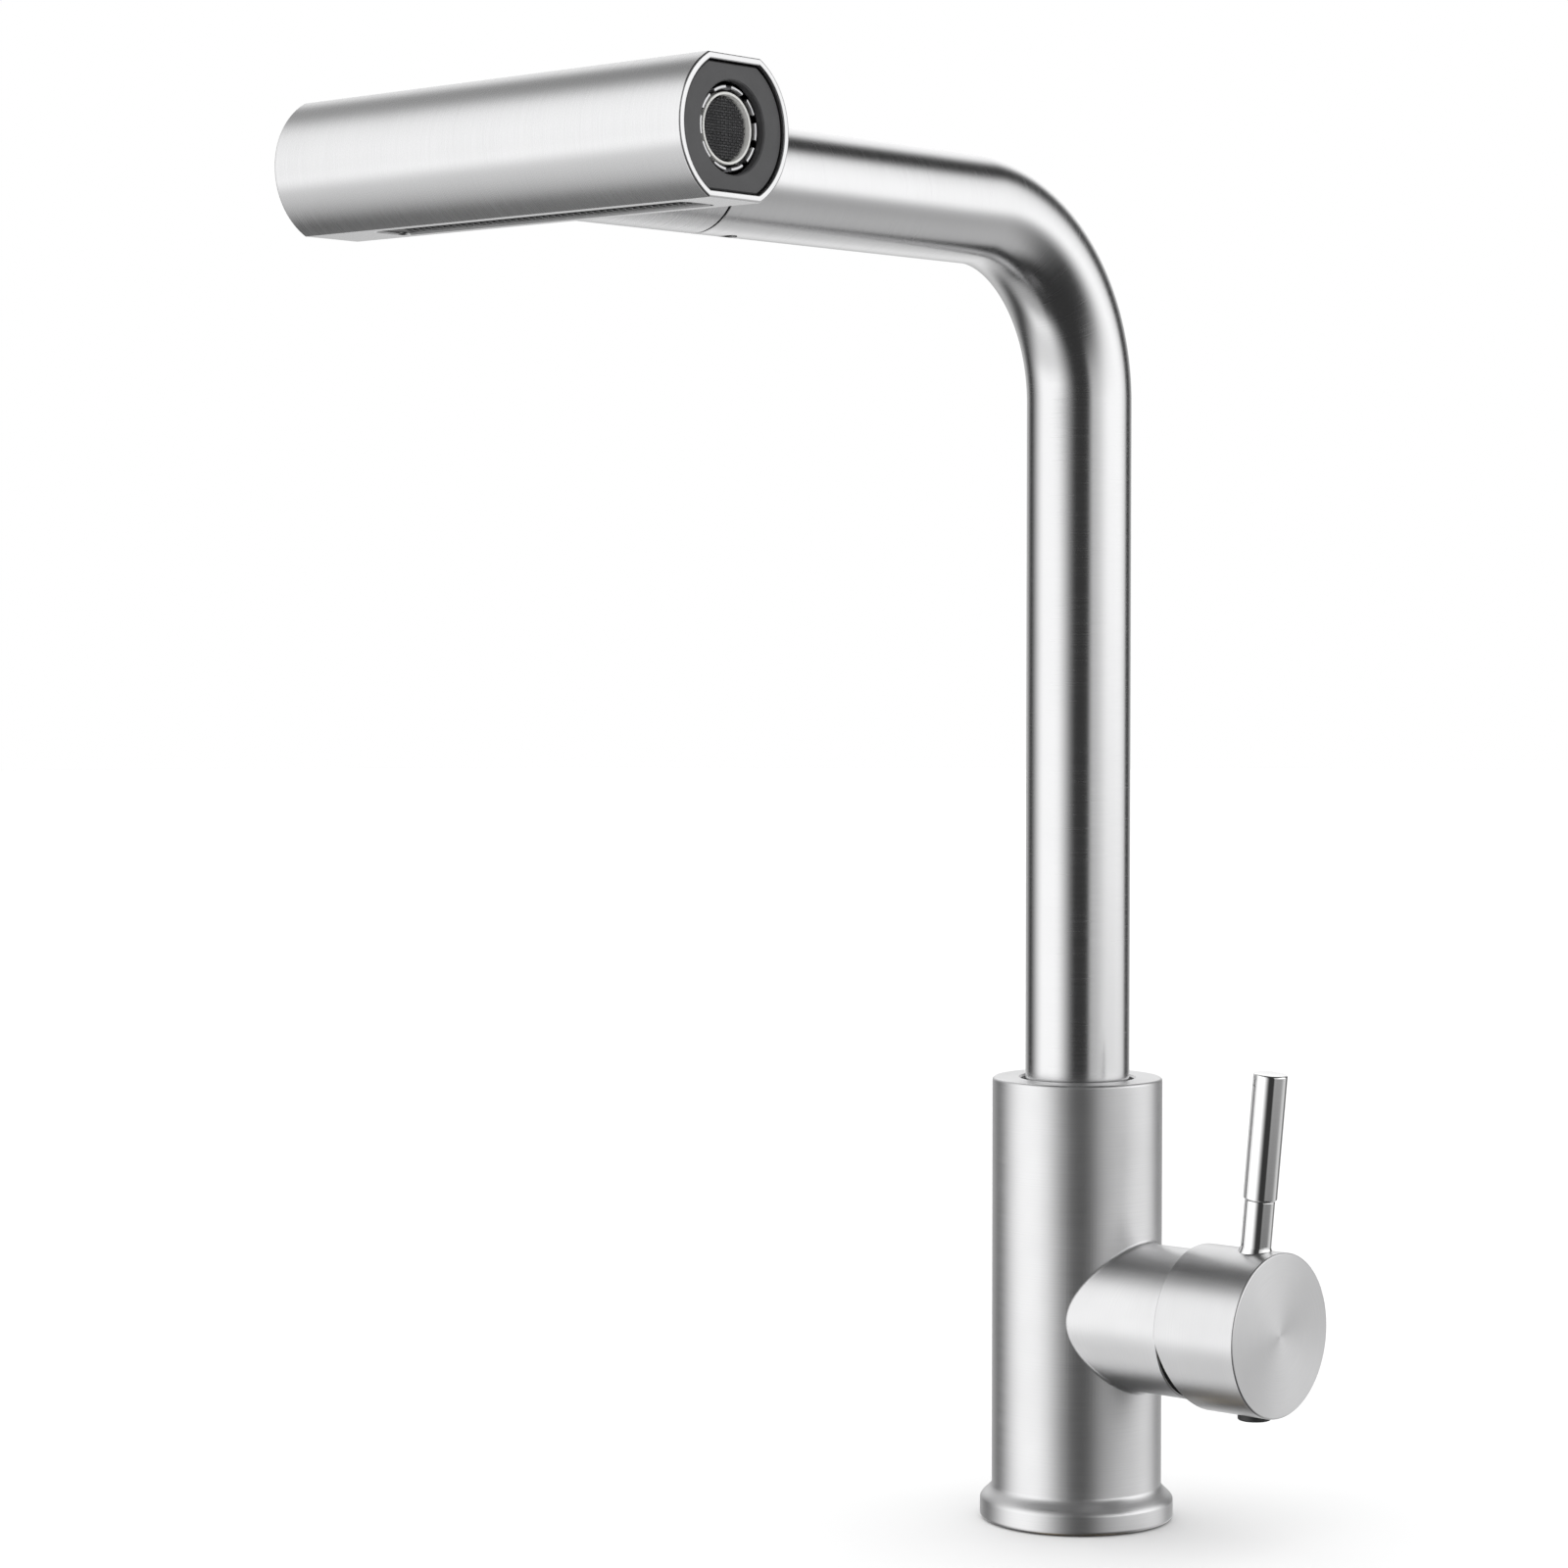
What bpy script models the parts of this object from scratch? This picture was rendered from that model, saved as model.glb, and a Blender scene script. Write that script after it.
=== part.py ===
"""Single-lever kitchen tap with an L-shaped swivel spout and a pull-out T-shaped head.

Metres, +Z up. The origin is on the riser's axis in the plane of the worktop.
The spout points along -Y and the lever's boss along +X.
"""
import math

import bmesh
import bpy
from mathutils import Vector

MM = 0.001

# ---------------------------------------------------------------- driving dimensions
GAP = 0.3 * MM                      # clearance between neighbouring pieces

BODY_RADIUS = 22.9 * MM
BODY_TOP = 119.5 * MM
BODY_BORE = 20.4 * MM
BODY_ROOF = 5.5 * MM                # thickness of the roof round the riser
BASE_RADIUS = 26.1 * MM
BASE_RIM_TOP = 5.0 * MM
FLARE_TOP = 9.5 * MM

TUBE_RADIUS = 14.0 * MM             # 28 mm riser, arm and neck
TUBE_WALL = 1.2 * MM
ARM_HEIGHT = 349.0 * MM             # arm axis above the worktop
BEND_RADIUS = 48.0 * MM
SPOUT_FOOT = 92.0 * MM              # lower end of the riser, inside the body
ARM_END = 151.2 * MM                # end of the fixed arm, measured from the riser's axis
NECK_START = 152.0 * MM
SPOUT_SCREW_HEIGHT = 99.0 * MM      # grub screw in the back of the body that keeps the spout in
REACH = 211.6 * MM                  # axis of the T head, measured from the riser's axis

HEAD_RADIUS = 17.77 * MM
HEAD_HALF_HEIGHT = 15.73 * MM       # half the distance between the two flats
HEAD_WALL = 1.6 * MM
HEAD_LEFT = -63.3 * MM
HEAD_RIGHT = 67.4 * MM
OUTLET_LEFT = -43.0 * MM            # recessed outlet in the lower flat
OUTLET_RIGHT = 57.0 * MM
OUTLET_HALF_WIDTH = 5.2 * MM

VALVE_HEIGHT = 56.7 * MM            # axis of the side boss, cartridge and cap
BOSS_RADIUS = 19.7 * MM
BOSS_END = 40.6 * MM
BOSS_BORE = 17.7 * MM
SEAL_SEAT_RADIUS = 19.2 * MM        # seat for the dust seal, cut into the boss's end
SEAL_SEAT_START = 38.9 * MM
CAP_RADIUS = 21.67 * MM
CAP_START = 41.3 * MM
CAP_END = 66.3 * MM
CAP_CAVITY = 20.2 * MM
CAP_SOLID_FROM = 50.0 * MM
CAP_RELIEF_DEG = 16.0               # the lower half of the cap's rim leans away from the boss
TILT_AXIS_X = 27.5 * MM             # pin that the lever tips on
STEM_BALL_ARM = 8.7 * MM            # from the pin to the stem's ball

LEVER_X = 58.5 * MM
LEVER_LEAN_DEG = 5.5
LEVER_LENGTH = 46.7 * MM
ROD_RADIUS = 4.0 * MM
ROD_LENGTH = 13.4 * MM
GRIP_RADIUS = 4.45 * MM
PLUG_X = 58.3 * MM

SHANK_RADIUS = 16.4 * MM            # M33 shank
SHANK_BORE = 14.2 * MM
SHANK_END = -58.0 * MM
DECK_GAP = 28.0 * MM                # thickness of worktop shown between base and washer

HOSE_RADIUS = 6.0 * MM
HOSE_OFFSET = -7.6 * MM             # the hose passes behind the cartridge
HOSE_CENTRED = 104.0 * MM           # height where the hose has come back to the riser's axis

AERATOR_SINK = 2.0 * MM             # the aerator's rim lies this far inside the head's end
RING_SINK = 2.4 * MM
MESH_SINK = 3.2 * MM

FINE = 32                           # facets on pieces that show
MEDIUM = 24                         # facets on wide pieces inside
COARSE = 16                         # facets on small pieces inside

# ---------------------------------------------------------------- finishes
FINISHES = {
    "brushed": ((0.62, 0.62, 0.61), 1.0, 0.30),
    "polished": ((0.75, 0.75, 0.76), 1.0, 0.08),
    "brass": ((0.72, 0.53, 0.25), 1.0, 0.32),
    "steel": ((0.55, 0.56, 0.57), 1.0, 0.25),
    "dark_plastic": ((0.07, 0.07, 0.075), 0.0, 0.45),
    "grey_plastic": ((0.24, 0.24, 0.25), 0.0, 0.40),
    "white_plastic": ((0.82, 0.82, 0.80), 0.0, 0.40),
    "rubber": ((0.03, 0.03, 0.03), 0.0, 0.70),
    "ceramic": ((0.86, 0.85, 0.82), 0.0, 0.15),
    "braid": ((0.42, 0.43, 0.45), 0.3, 0.45),
}

PIVOTS = {
    "spout": Vector((0.0, 0.0, 0.0)),
    "hose_end": Vector((0.0, -ARM_END, ARM_HEIGHT)),
    "wand": Vector((0.0, -REACH, ARM_HEIGHT)),
    "rotor": Vector((0.0, 0.0, VALVE_HEIGHT)),
    "disc": Vector((0.0, 0.0, VALVE_HEIGHT)),
    "handle": Vector((TILT_AXIS_X, 0.0, VALVE_HEIGHT)),
    "button": Vector((HEAD_LEFT, -REACH, ARM_HEIGHT)),
}

# Rotations that lay a shape's own Z along a row axis.
UP = (0.0, 0.0, 0.0)
ALONG_X = (0.0, math.pi / 2, 0.0)
FORWARD = (math.pi / 2, 0.0, 0.0)   # along -Y, the way the arm points
DOWN = (math.pi, 0.0, 0.0)

BOSS = Vector((0.0, 0.0, VALVE_HEIGHT))
ARM = Vector((0.0, 0.0, ARM_HEIGHT))
HEAD = Vector((0.0, -REACH, ARM_HEIGHT))


# ---------------------------------------------------------------- scene
def clear_scene():
    for obj in list(bpy.data.objects):
        bpy.data.objects.remove(obj, do_unlink=True)


def new_collection(name):
    collection = bpy.data.collections.new(name)
    bpy.context.scene.collection.children.link(collection)
    return collection


clear_scene()
PARTS = new_collection("kitchen_tap")
CUTTERS = new_collection("cutters")


def make_pivots():
    pivots = {}
    for name, place in PIVOTS.items():
        empty = bpy.data.objects.new(name + "_pivot", None)
        empty.location = place
        empty.empty_display_size = 10 * MM
        PARTS.objects.link(empty)
        pivots[name] = empty
    return pivots


PIVOT_OBJECTS = make_pivots()


def paint(obj, finish):
    colour, metallic, roughness = FINISHES[finish]
    material = bpy.data.materials.new(obj.name + "_" + finish)
    material.use_nodes = True
    shader = material.node_tree.nodes["Principled BSDF"]
    shader.inputs["Base Color"].default_value = (*colour, 1.0)
    shader.inputs["Metallic"].default_value = metallic
    shader.inputs["Roughness"].default_value = roughness
    obj.data.materials.append(material)


def part(obj, finish, pivot=None):
    """File an object under the parts, with its own material, riding on its pivot."""
    PARTS.objects.link(obj)
    paint(obj, finish)
    if pivot:
        obj.parent = PIVOT_OBJECTS[pivot]
        obj.location = obj.location - PIVOTS[pivot]
    return obj


def cutter(obj):
    """File an object under the cutters, which only shape other pieces."""
    CUTTERS.objects.link(obj)
    obj.hide_render = True
    obj.display_type = "WIRE"
    return obj


def combine(obj, operation, *tools):
    for tool in tools:
        boolean = obj.modifiers.new(operation.lower() + "_" + tool.name, "BOOLEAN")
        boolean.operation = operation
        boolean.solver = "EXACT"
        boolean.object = tool
    return obj


def cut(obj, *tools):
    return combine(obj, "DIFFERENCE", *tools)


def join(obj, *tools):
    return combine(obj, "UNION", *tools)


# ---------------------------------------------------------------- shapes
def turned(name, profile, place=(0, 0, 0), rotation=UP, steps=COARSE):
    """Turn a profile of (radius, height) points about the object's own Z.

    The profile runs down the outer side. It closes on itself unless both ends are on the axis.
    """
    mesh = bpy.data.meshes.new(name)
    shape = bmesh.new()
    corners = [shape.verts.new((radius, 0.0, height)) for radius, height in profile]
    for first, second in zip(corners, corners[1:]):
        shape.edges.new((first, second))
    if profile[0][0] > 0.0:
        shape.edges.new((corners[-1], corners[0]))
    shape.to_mesh(mesh)
    shape.free()
    obj = bpy.data.objects.new(name, mesh)
    screw = obj.modifiers.new("turn", "SCREW")
    screw.axis = "Z"
    screw.steps = steps
    screw.render_steps = steps
    screw.use_merge_vertices = True
    screw.merge_threshold = 0.00001
    screw.use_smooth_shade = True
    obj.location = place
    obj.rotation_euler = rotation
    return obj


def rod(name, radius, low, high, place=(0, 0, 0), rotation=UP, steps=COARSE, edge=0.0):
    """A solid round bar from low to high along its own Z, with its ends chamfered by edge."""
    profile = [(0.0, high), (radius, high), (radius, low), (0.0, low)]
    if edge:
        profile = [(0.0, high), (radius - edge, high), (radius, high - edge),
                   (radius, low + edge), (radius - edge, low), (0.0, low)]
    return turned(name, profile, place, rotation, steps)


def ring(name, inner, outer, low, high, place=(0, 0, 0), rotation=UP, steps=COARSE):
    profile = [(inner, high), (outer, high), (outer, low), (inner, low)]
    return turned(name, profile, place, rotation, steps)


def oring(name, major, minor, height, place=(0, 0, 0), rotation=UP):
    """A seal of round section: a six-sided section turned about Z."""
    profile = []
    for index in range(6):
        angle = -index * math.pi / 3
        profile.append((major + minor * math.cos(angle), height + minor * math.sin(angle)))
    return turned(name, profile, place, rotation, COARSE)


def box(name, low, high, place=(0, 0, 0), rotation=UP):
    mesh = bpy.data.meshes.new(name)
    shape = bmesh.new()
    bmesh.ops.create_cube(shape, size=1.0)
    size = Vector(high) - Vector(low)
    middle = (Vector(high) + Vector(low)) / 2
    bmesh.ops.scale(shape, vec=size, verts=shape.verts)
    bmesh.ops.translate(shape, vec=middle, verts=shape.verts)
    shape.to_mesh(mesh)
    shape.free()
    obj = bpy.data.objects.new(name, mesh)
    obj.location = place
    obj.rotation_euler = rotation
    return obj


def mesh_of_curve(curve_object):
    """Replace a curve object by a mesh object of the same name, with its caps welded."""
    name = curve_object.name
    bpy.context.scene.collection.objects.link(curve_object)
    graph = bpy.context.evaluated_depsgraph_get()
    mesh = bpy.data.meshes.new_from_object(curve_object.evaluated_get(graph))
    matrix = curve_object.matrix_world.copy()
    bpy.data.objects.remove(curve_object, do_unlink=True)
    shape = bmesh.new()
    shape.from_mesh(mesh)
    bmesh.ops.remove_doubles(shape, verts=shape.verts, dist=0.000005)
    shape.to_mesh(mesh)
    shape.free()
    mesh.shade_smooth()
    mesh.set_sharp_from_angle(angle=math.radians(40))
    obj = bpy.data.objects.new(name, mesh)
    obj.matrix_world = matrix
    return obj


def extruded(name, outline, low, high, place=(0, 0, 0), rotation=UP):
    """Extrude a closed outline of (x, y) points from low to high along the object's own Z."""
    curve = bpy.data.curves.new(name, "CURVE")
    curve.dimensions = "2D"
    curve.fill_mode = "BOTH"
    curve.extrude = (high - low) / 2
    spline = curve.splines.new("POLY")
    spline.points.add(len(outline) - 1)
    for point, (x, y) in zip(spline.points, outline):
        point.co = (x, y, 0.0, 1.0)
    spline.use_cyclic_u = True
    obj = bpy.data.objects.new(name, curve)
    obj = mesh_of_curve(obj)
    middle = Vector((0.0, 0.0, (high + low) / 2))
    for vertex in obj.data.vertices:
        vertex.co += middle
    obj.location = place
    obj.rotation_euler = rotation
    return obj


def piped(name, points, radius, sides=12):
    """A round bar along a run of points, with filled ends."""
    curve = bpy.data.curves.new(name, "CURVE")
    curve.dimensions = "3D"
    curve.bevel_depth = radius
    curve.bevel_resolution = (sides - 4) // 2
    curve.use_fill_caps = True
    spline = curve.splines.new("POLY")
    spline.points.add(len(points) - 1)
    for point, place in zip(spline.points, points):
        point.co = (*place, 1.0)
    return mesh_of_curve(bpy.data.objects.new(name, curve))


def flat_sided_outline(radius, half_height, steps=8):
    """A circle with its top and bottom cut flat; x is the height, y the width."""
    corner = math.asin(half_height / radius)
    outline = []
    for side in (0.0, math.pi):
        for index in range(steps + 1):
            angle = side - corner + 2 * corner * index / steps
            outline.append((radius * math.sin(angle), radius * math.cos(angle)))
    return outline


def hexagon(across_flats):
    reach = across_flats / math.sqrt(3)
    return [(reach * math.cos(math.radians(a)), reach * math.sin(math.radians(a)))
            for a in range(0, 360, 60)]


def spout_route(start, end, steps=10):
    """The centre line of the spout: up the riser, round the bend and out along the arm."""
    route = [(0.0, 0.0, start)]
    for index in range(steps + 1):
        angle = math.pi / 2 * index / steps
        y = -BEND_RADIUS * (1 - math.cos(angle))
        z = ARM_HEIGHT - BEND_RADIUS * (1 - math.sin(angle))
        route.append((0.0, y, z))
    route.append((0.0, -end, ARM_HEIGHT))
    return route


def around(radius, count, start=0.0):
    """Points spaced evenly on a circle."""
    turns = [start + 2 * math.pi * index / count for index in range(count)]
    return [(radius * math.cos(turn), radius * math.sin(turn)) for turn in turns]


# ---------------------------------------------------------------- body and deck fixing
def make_body():
    edge = 0.8 * MM
    outer = [(0.0, BODY_TOP), (BODY_RADIUS - edge, BODY_TOP),
             (BODY_RADIUS - 0.3 * edge, BODY_TOP - 0.3 * edge), (BODY_RADIUS, BODY_TOP - edge)]
    flare_steps = 5
    for index in range(flare_steps + 1):
        share = index / flare_steps
        swell = (1 - math.cos(math.pi * share)) / 2
        radius = BODY_RADIUS + (BASE_RADIUS - BODY_RADIUS) * swell
        outer.append((radius, FLARE_TOP + (BASE_RIM_TOP - FLARE_TOP) * share))
    outer += [(BASE_RADIUS, GAP + edge), (BASE_RADIUS - edge, GAP), (0.0, GAP)]
    body = part(turned("body_shell", outer, steps=FINE), "brushed")
    boss = cutter(rod("boss_blank", BOSS_RADIUS, 8 * MM, BOSS_END, BOSS, ALONG_X, FINE))
    mouth = 15.3 * MM
    recess = 24.9 * MM
    roof = BODY_TOP - BODY_ROOF
    bore = [(0.0, BODY_TOP + MM), (mouth, BODY_TOP + MM), (mouth, roof), (BODY_BORE, roof),
            (BODY_BORE, 1.6 * MM), (recess, 1.6 * MM), (recess, -MM), (0.0, -MM)]
    bore = cutter(turned("body_bore", bore, steps=MEDIUM))
    socket = [(0.0, BOSS_END + MM), (SEAL_SEAT_RADIUS, BOSS_END + MM),
              (SEAL_SEAT_RADIUS, SEAL_SEAT_START), (BOSS_BORE, SEAL_SEAT_START),
              (BOSS_BORE, 4 * MM), (0.0, 4 * MM)]
    socket = cutter(turned("boss_bore", socket, BOSS, ALONG_X, FINE))
    screw_hole = cutter(rod("spout_screw_hole", 2.8 * MM, -30 * MM, -10 * MM,
                            (0, 0, SPOUT_SCREW_HEIGHT), FORWARD, 16))
    join(body, boss)
    cut(body, bore, socket, screw_hole)


def make_deck_fixing():
    part(ring("base_gasket", 17.0 * MM, 24.6 * MM, 0.0, 1.3 * MM, steps=MEDIUM), "rubber")
    flange = 20.0 * MM
    profile = [(SHANK_BORE, 13.5 * MM), (flange, 13.5 * MM), (flange, 2.0 * MM),
               (SHANK_RADIUS, 2.0 * MM), (SHANK_RADIUS, SHANK_END + MM),
               (SHANK_RADIUS - MM, SHANK_END), (SHANK_BORE, SHANK_END)]
    part(turned("mounting_shank", profile, steps=MEDIUM), "brass")
    hole = SHANK_RADIUS + 0.5 * MM
    top = -DECK_GAP
    part(ring("rubber_washer", hole, 27 * MM, top - 2.5 * MM, top, steps=MEDIUM), "rubber")
    top -= 2.8 * MM
    part(ring("clamp_washer", hole, 28 * MM, top - 2 * MM, top, steps=MEDIUM), "steel")
    top -= 2.3 * MM
    nut = part(extruded("shank_nut", hexagon(46 * MM), top - 9 * MM, top), "brass")
    cut(nut, cutter(rod("shank_nut_bore", hole, top - 10 * MM, top + MM, steps=MEDIUM)))


TAIL_PLACES = {
    "hot_tail": (5.0 * MM, 8.3 * MM),
    "cold_tail": (5.0 * MM, -8.3 * MM),
    "outlet_tail": (9.5 * MM, 0.0),
}
TAIL_RADIUS = 4.0 * MM
TAIL_BORE = 2.8 * MM
TAIL_TOP = 20.0 * MM
TAIL_END = -68.0 * MM
SEAT_FACE = 3.0 * MM                # face that the cartridge sits against
MANIFOLD_FOOT = 14.0 * MM
MANIFOLD_TOP = 73.0 * MM
SHELF_HEIGHT = 38.3 * MM            # the block is cut back above this for the cartridge
PORT_CIRCLE = 8.0 * MM              # radius that the three water ports lie on


def make_water_ways():
    outer = 19.8 * MM
    block = part(rod("valve_manifold", outer, MANIFOLD_FOOT, MANIFOLD_TOP, steps=MEDIUM), "brass")
    behind = cutter(box("behind_seat", (-30 * MM, -30 * MM, 0), (-MM, 30 * MM, 90 * MM)))
    above = cutter(box("above_block", (SEAT_FACE, -30 * MM, SHELF_HEIGHT),
                       (30 * MM, 30 * MM, 90 * MM)))
    cut(block, behind, above)
    for name, (x, y) in TAIL_PLACES.items():
        socket = [(0.0, 35 * MM), (TAIL_BORE, 35 * MM), (TAIL_BORE, TAIL_TOP + GAP),
                  (TAIL_RADIUS + GAP, TAIL_TOP + GAP), (TAIL_RADIUS + GAP, 10 * MM),
                  (0.0, 10 * MM)]
        cut(block, cutter(turned(name + "_socket", socket, (x, y, 0), steps=16)))
        collar = 4.5 * MM
        tail = [(TAIL_BORE, TAIL_TOP), (TAIL_RADIUS, TAIL_TOP), (TAIL_RADIUS, TAIL_END + 8 * MM),
                (collar, TAIL_END + 8 * MM), (collar, TAIL_END), (TAIL_BORE, TAIL_END)]
        part(turned(name, tail, (x, y, 0), steps=16), "brass")
    for index, (y, z) in enumerate(around(PORT_CIRCLE, 3, math.pi / 2)):
        port = rod("seat_port_%d" % index, 2.4 * MM, 0.5 * MM, 5 * MM,
                   (0, y, VALVE_HEIGHT + z), ALONG_X, 12)
        cut(block, cutter(port))


# ---------------------------------------------------------------- cartridge and handle
def drill_ports(piece, low, high, radius):
    for index, (y, z) in enumerate(around(PORT_CIRCLE, 3, math.pi / 2)):
        name = "%s_port_%d" % (piece.name, index)
        hole = rod(name, radius, low, high, (0, y, VALVE_HEIGHT + z), ALONG_X, 12)
        cut(piece, cutter(hole))


def make_cartridge():
    seal = part(rod("cartridge_port_seal", 15 * MM, 3.3 * MM, 4.5 * MM, BOSS, ALONG_X), "rubber")
    drill_ports(seal, 3 * MM, 5 * MM, 2.2 * MM)
    base = part(rod("cartridge_base", 16.9 * MM, 4.8 * MM, 8 * MM, BOSS, ALONG_X), "grey_plastic")
    drill_ports(base, 4 * MM, 9 * MM, 2.2 * MM)
    fixed = part(rod("fixed_ceramic_disc", 12.6 * MM, 8.3 * MM, 11.8 * MM, BOSS, ALONG_X),
                 "ceramic")
    drill_ports(fixed, 8 * MM, 12.5 * MM, 2.4 * MM)
    moving = [(0.0, 14.6 * MM), (9 * MM, 14.6 * MM), (9 * MM, 12.1 * MM), (5 * MM, 12.1 * MM),
              (5 * MM, 13.3 * MM), (0.0, 13.3 * MM)]
    part(turned("moving_ceramic_disc", moving, BOSS, ALONG_X), "ceramic", "disc")
    carrier = [(0.0, 16.0 * MM), (2.9 * MM, 16.0 * MM), (2.9 * MM, 20.6 * MM),
               (9 * MM, 20.6 * MM), (9 * MM, 14.9 * MM), (0.0, 14.9 * MM)]
    part(turned("disc_carrier", carrier, BOSS, ALONG_X), "white_plastic", "disc")
    housing = [(10.4 * MM, 30 * MM), (17.2 * MM, 30 * MM), (17.2 * MM, 8.3 * MM),
               (13.2 * MM, 8.3 * MM), (13.2 * MM, 26 * MM), (10.4 * MM, 26 * MM)]
    part(turned("cartridge_housing", housing, BOSS, ALONG_X), "grey_plastic")
    nut = part(ring("cartridge_nut", 12.5 * MM, 17.4 * MM, 30.3 * MM, 39 * MM, BOSS, ALONG_X),
               "brass")
    for index in range(4):
        turn = (index * math.pi / 2, 0.0, 0.0)
        slot = box("nut_slot_%d" % index, (36 * MM, -1.5 * MM, 12 * MM),
                   (40 * MM, 1.5 * MM, 18 * MM), BOSS, turn)
        cut(nut, cutter(slot))
    part(ring("dust_seal", BOSS_BORE + 0.1 * MM, SEAL_SEAT_RADIUS - 0.2 * MM,
              SEAL_SEAT_START + 0.2 * MM, BOSS_END - 0.2 * MM, BOSS, ALONG_X, FINE), "rubber")
    rotor = [(0.0, 35.5 * MM), (10 * MM, 35.5 * MM), (10 * MM, 25.7 * MM), (12.7 * MM, 25.7 * MM),
             (12.7 * MM, 21 * MM), (0.0, 21 * MM)]
    rotor = part(turned("cartridge_rotor", rotor, BOSS, ALONG_X), "white_plastic", "rotor")
    slot = box("rotor_slot", (20 * MM, -3.7 * MM, -7.4 * MM), (37 * MM, 3.7 * MM, 7.4 * MM), BOSS)
    pin_place = (TILT_AXIS_X, 0, VALVE_HEIGHT)
    pin_hole = cutter(rod("pin_hole", 1.8 * MM, -15 * MM, 15 * MM, pin_place, FORWARD, 12))
    cut(rotor, cutter(slot), pin_hole)
    part(rod("lever_pin", 1.5 * MM, -9 * MM, 9 * MM, pin_place, FORWARD, 12), "steel", "rotor")
    stem = part(box("lever_stem", (24 * MM, -3.3 * MM, -3.3 * MM), (61.2 * MM, 3.3 * MM, 3.3 * MM),
                    BOSS), "steel", "handle")
    ball_x = TILT_AXIS_X - STEM_BALL_ARM
    ball_radius = 2.5 * MM
    tip = [(0.0, 25 * MM), (2 * MM, 25 * MM), (2 * MM, ball_x + 1.5 * MM)]
    for index in range(5):
        angle = math.radians(36.87 - index * 126.87 / 4)
        tip.append((ball_radius * math.cos(angle), ball_x + ball_radius * math.sin(angle)))
    tip[-1] = (0.0, ball_x - ball_radius)
    tip = cutter(turned("stem_tip", tip, BOSS, ALONG_X, 12))
    join(stem, tip)
    cut(stem, pin_hole)


def make_handle():
    edge = 1.0 * MM
    soft = 0.3 * edge
    profile = [(0.0, CAP_END), (CAP_RADIUS - edge, CAP_END), (CAP_RADIUS - soft, CAP_END - soft),
               (CAP_RADIUS, CAP_END - edge), (CAP_RADIUS, CAP_START), (CAP_CAVITY, CAP_START),
               (CAP_CAVITY, CAP_SOLID_FROM), (0.0, CAP_SOLID_FROM)]
    cap = part(turned("handle_cap", profile, BOSS, ALONG_X, FINE), "brushed", "handle")
    lean = (0.0, -math.radians(CAP_RELIEF_DEG), 0.0)
    relief = box("cap_relief", (-20 * MM, -30 * MM, -40 * MM), (0, 30 * MM, 0),
                 (CAP_START, 0, VALVE_HEIGHT), lean)
    socket = box("stem_socket", (45 * MM, -3.6 * MM, -3.6 * MM), (61.5 * MM, 3.6 * MM, 3.6 * MM),
                 BOSS)
    screw_place = (PLUG_X, 0, VALVE_HEIGHT)
    plug_radius = 4.4 * MM
    seat = 18.8 * MM
    screw_hole = [(0.0, 30 * MM), (plug_radius + GAP, 30 * MM), (plug_radius + GAP, seat),
                  (2.8 * MM, seat), (2.8 * MM, 2 * MM), (0.0, 2 * MM)]
    screw_hole = turned("cap_screw_hole", screw_hole, screw_place, DOWN, 20)
    lean = (0.0, math.radians(LEVER_LEAN_DEG), 0.0)
    root = Vector((LEVER_X, 0, VALVE_HEIGHT + CAP_RADIUS))
    lever_hole = rod("lever_hole", 3.3 * MM, -8 * MM, 5 * MM, root, lean, 16)
    cut(cap, cutter(relief), cutter(socket), cutter(screw_hole), cutter(lever_hole))
    part(rod("handle_grub_screw", 2.5 * MM, 3.7 * MM, 18.2 * MM, screw_place, DOWN, 12), "steel",
         "handle")
    part(rod("index_plug", plug_radius, seat + 0.2 * MM, CAP_RADIUS + 1.2 * MM, screw_place, DOWN,
             20, 0.4 * MM), "dark_plastic", "handle")
    thread = 3.0 * MM
    spigot = 2.5 * MM
    spigot_top = 25 * MM
    shoulder = 0.7 * MM             # the leaning rod clears the top of the cap
    lever = [(0.0, spigot_top), (spigot, spigot_top), (spigot, ROD_LENGTH),
             (ROD_RADIUS, ROD_LENGTH), (ROD_RADIUS, shoulder), (thread, shoulder),
             (thread, -7.5 * MM), (0.0, -7.5 * MM)]
    part(turned("lever_rod", lever, root, lean, COARSE), "polished", "handle")
    edge = 0.5 * MM
    grip = [(0.0, LEVER_LENGTH), (GRIP_RADIUS - edge, LEVER_LENGTH),
            (GRIP_RADIUS, LEVER_LENGTH - edge), (GRIP_RADIUS, ROD_LENGTH + edge),
            (GRIP_RADIUS - edge, ROD_LENGTH + GAP), (spigot + GAP, ROD_LENGTH + GAP),
            (spigot + GAP, spigot_top + GAP), (0.0, spigot_top + GAP)]
    part(turned("lever_grip", grip, root, lean, COARSE), "polished", "handle")


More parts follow.
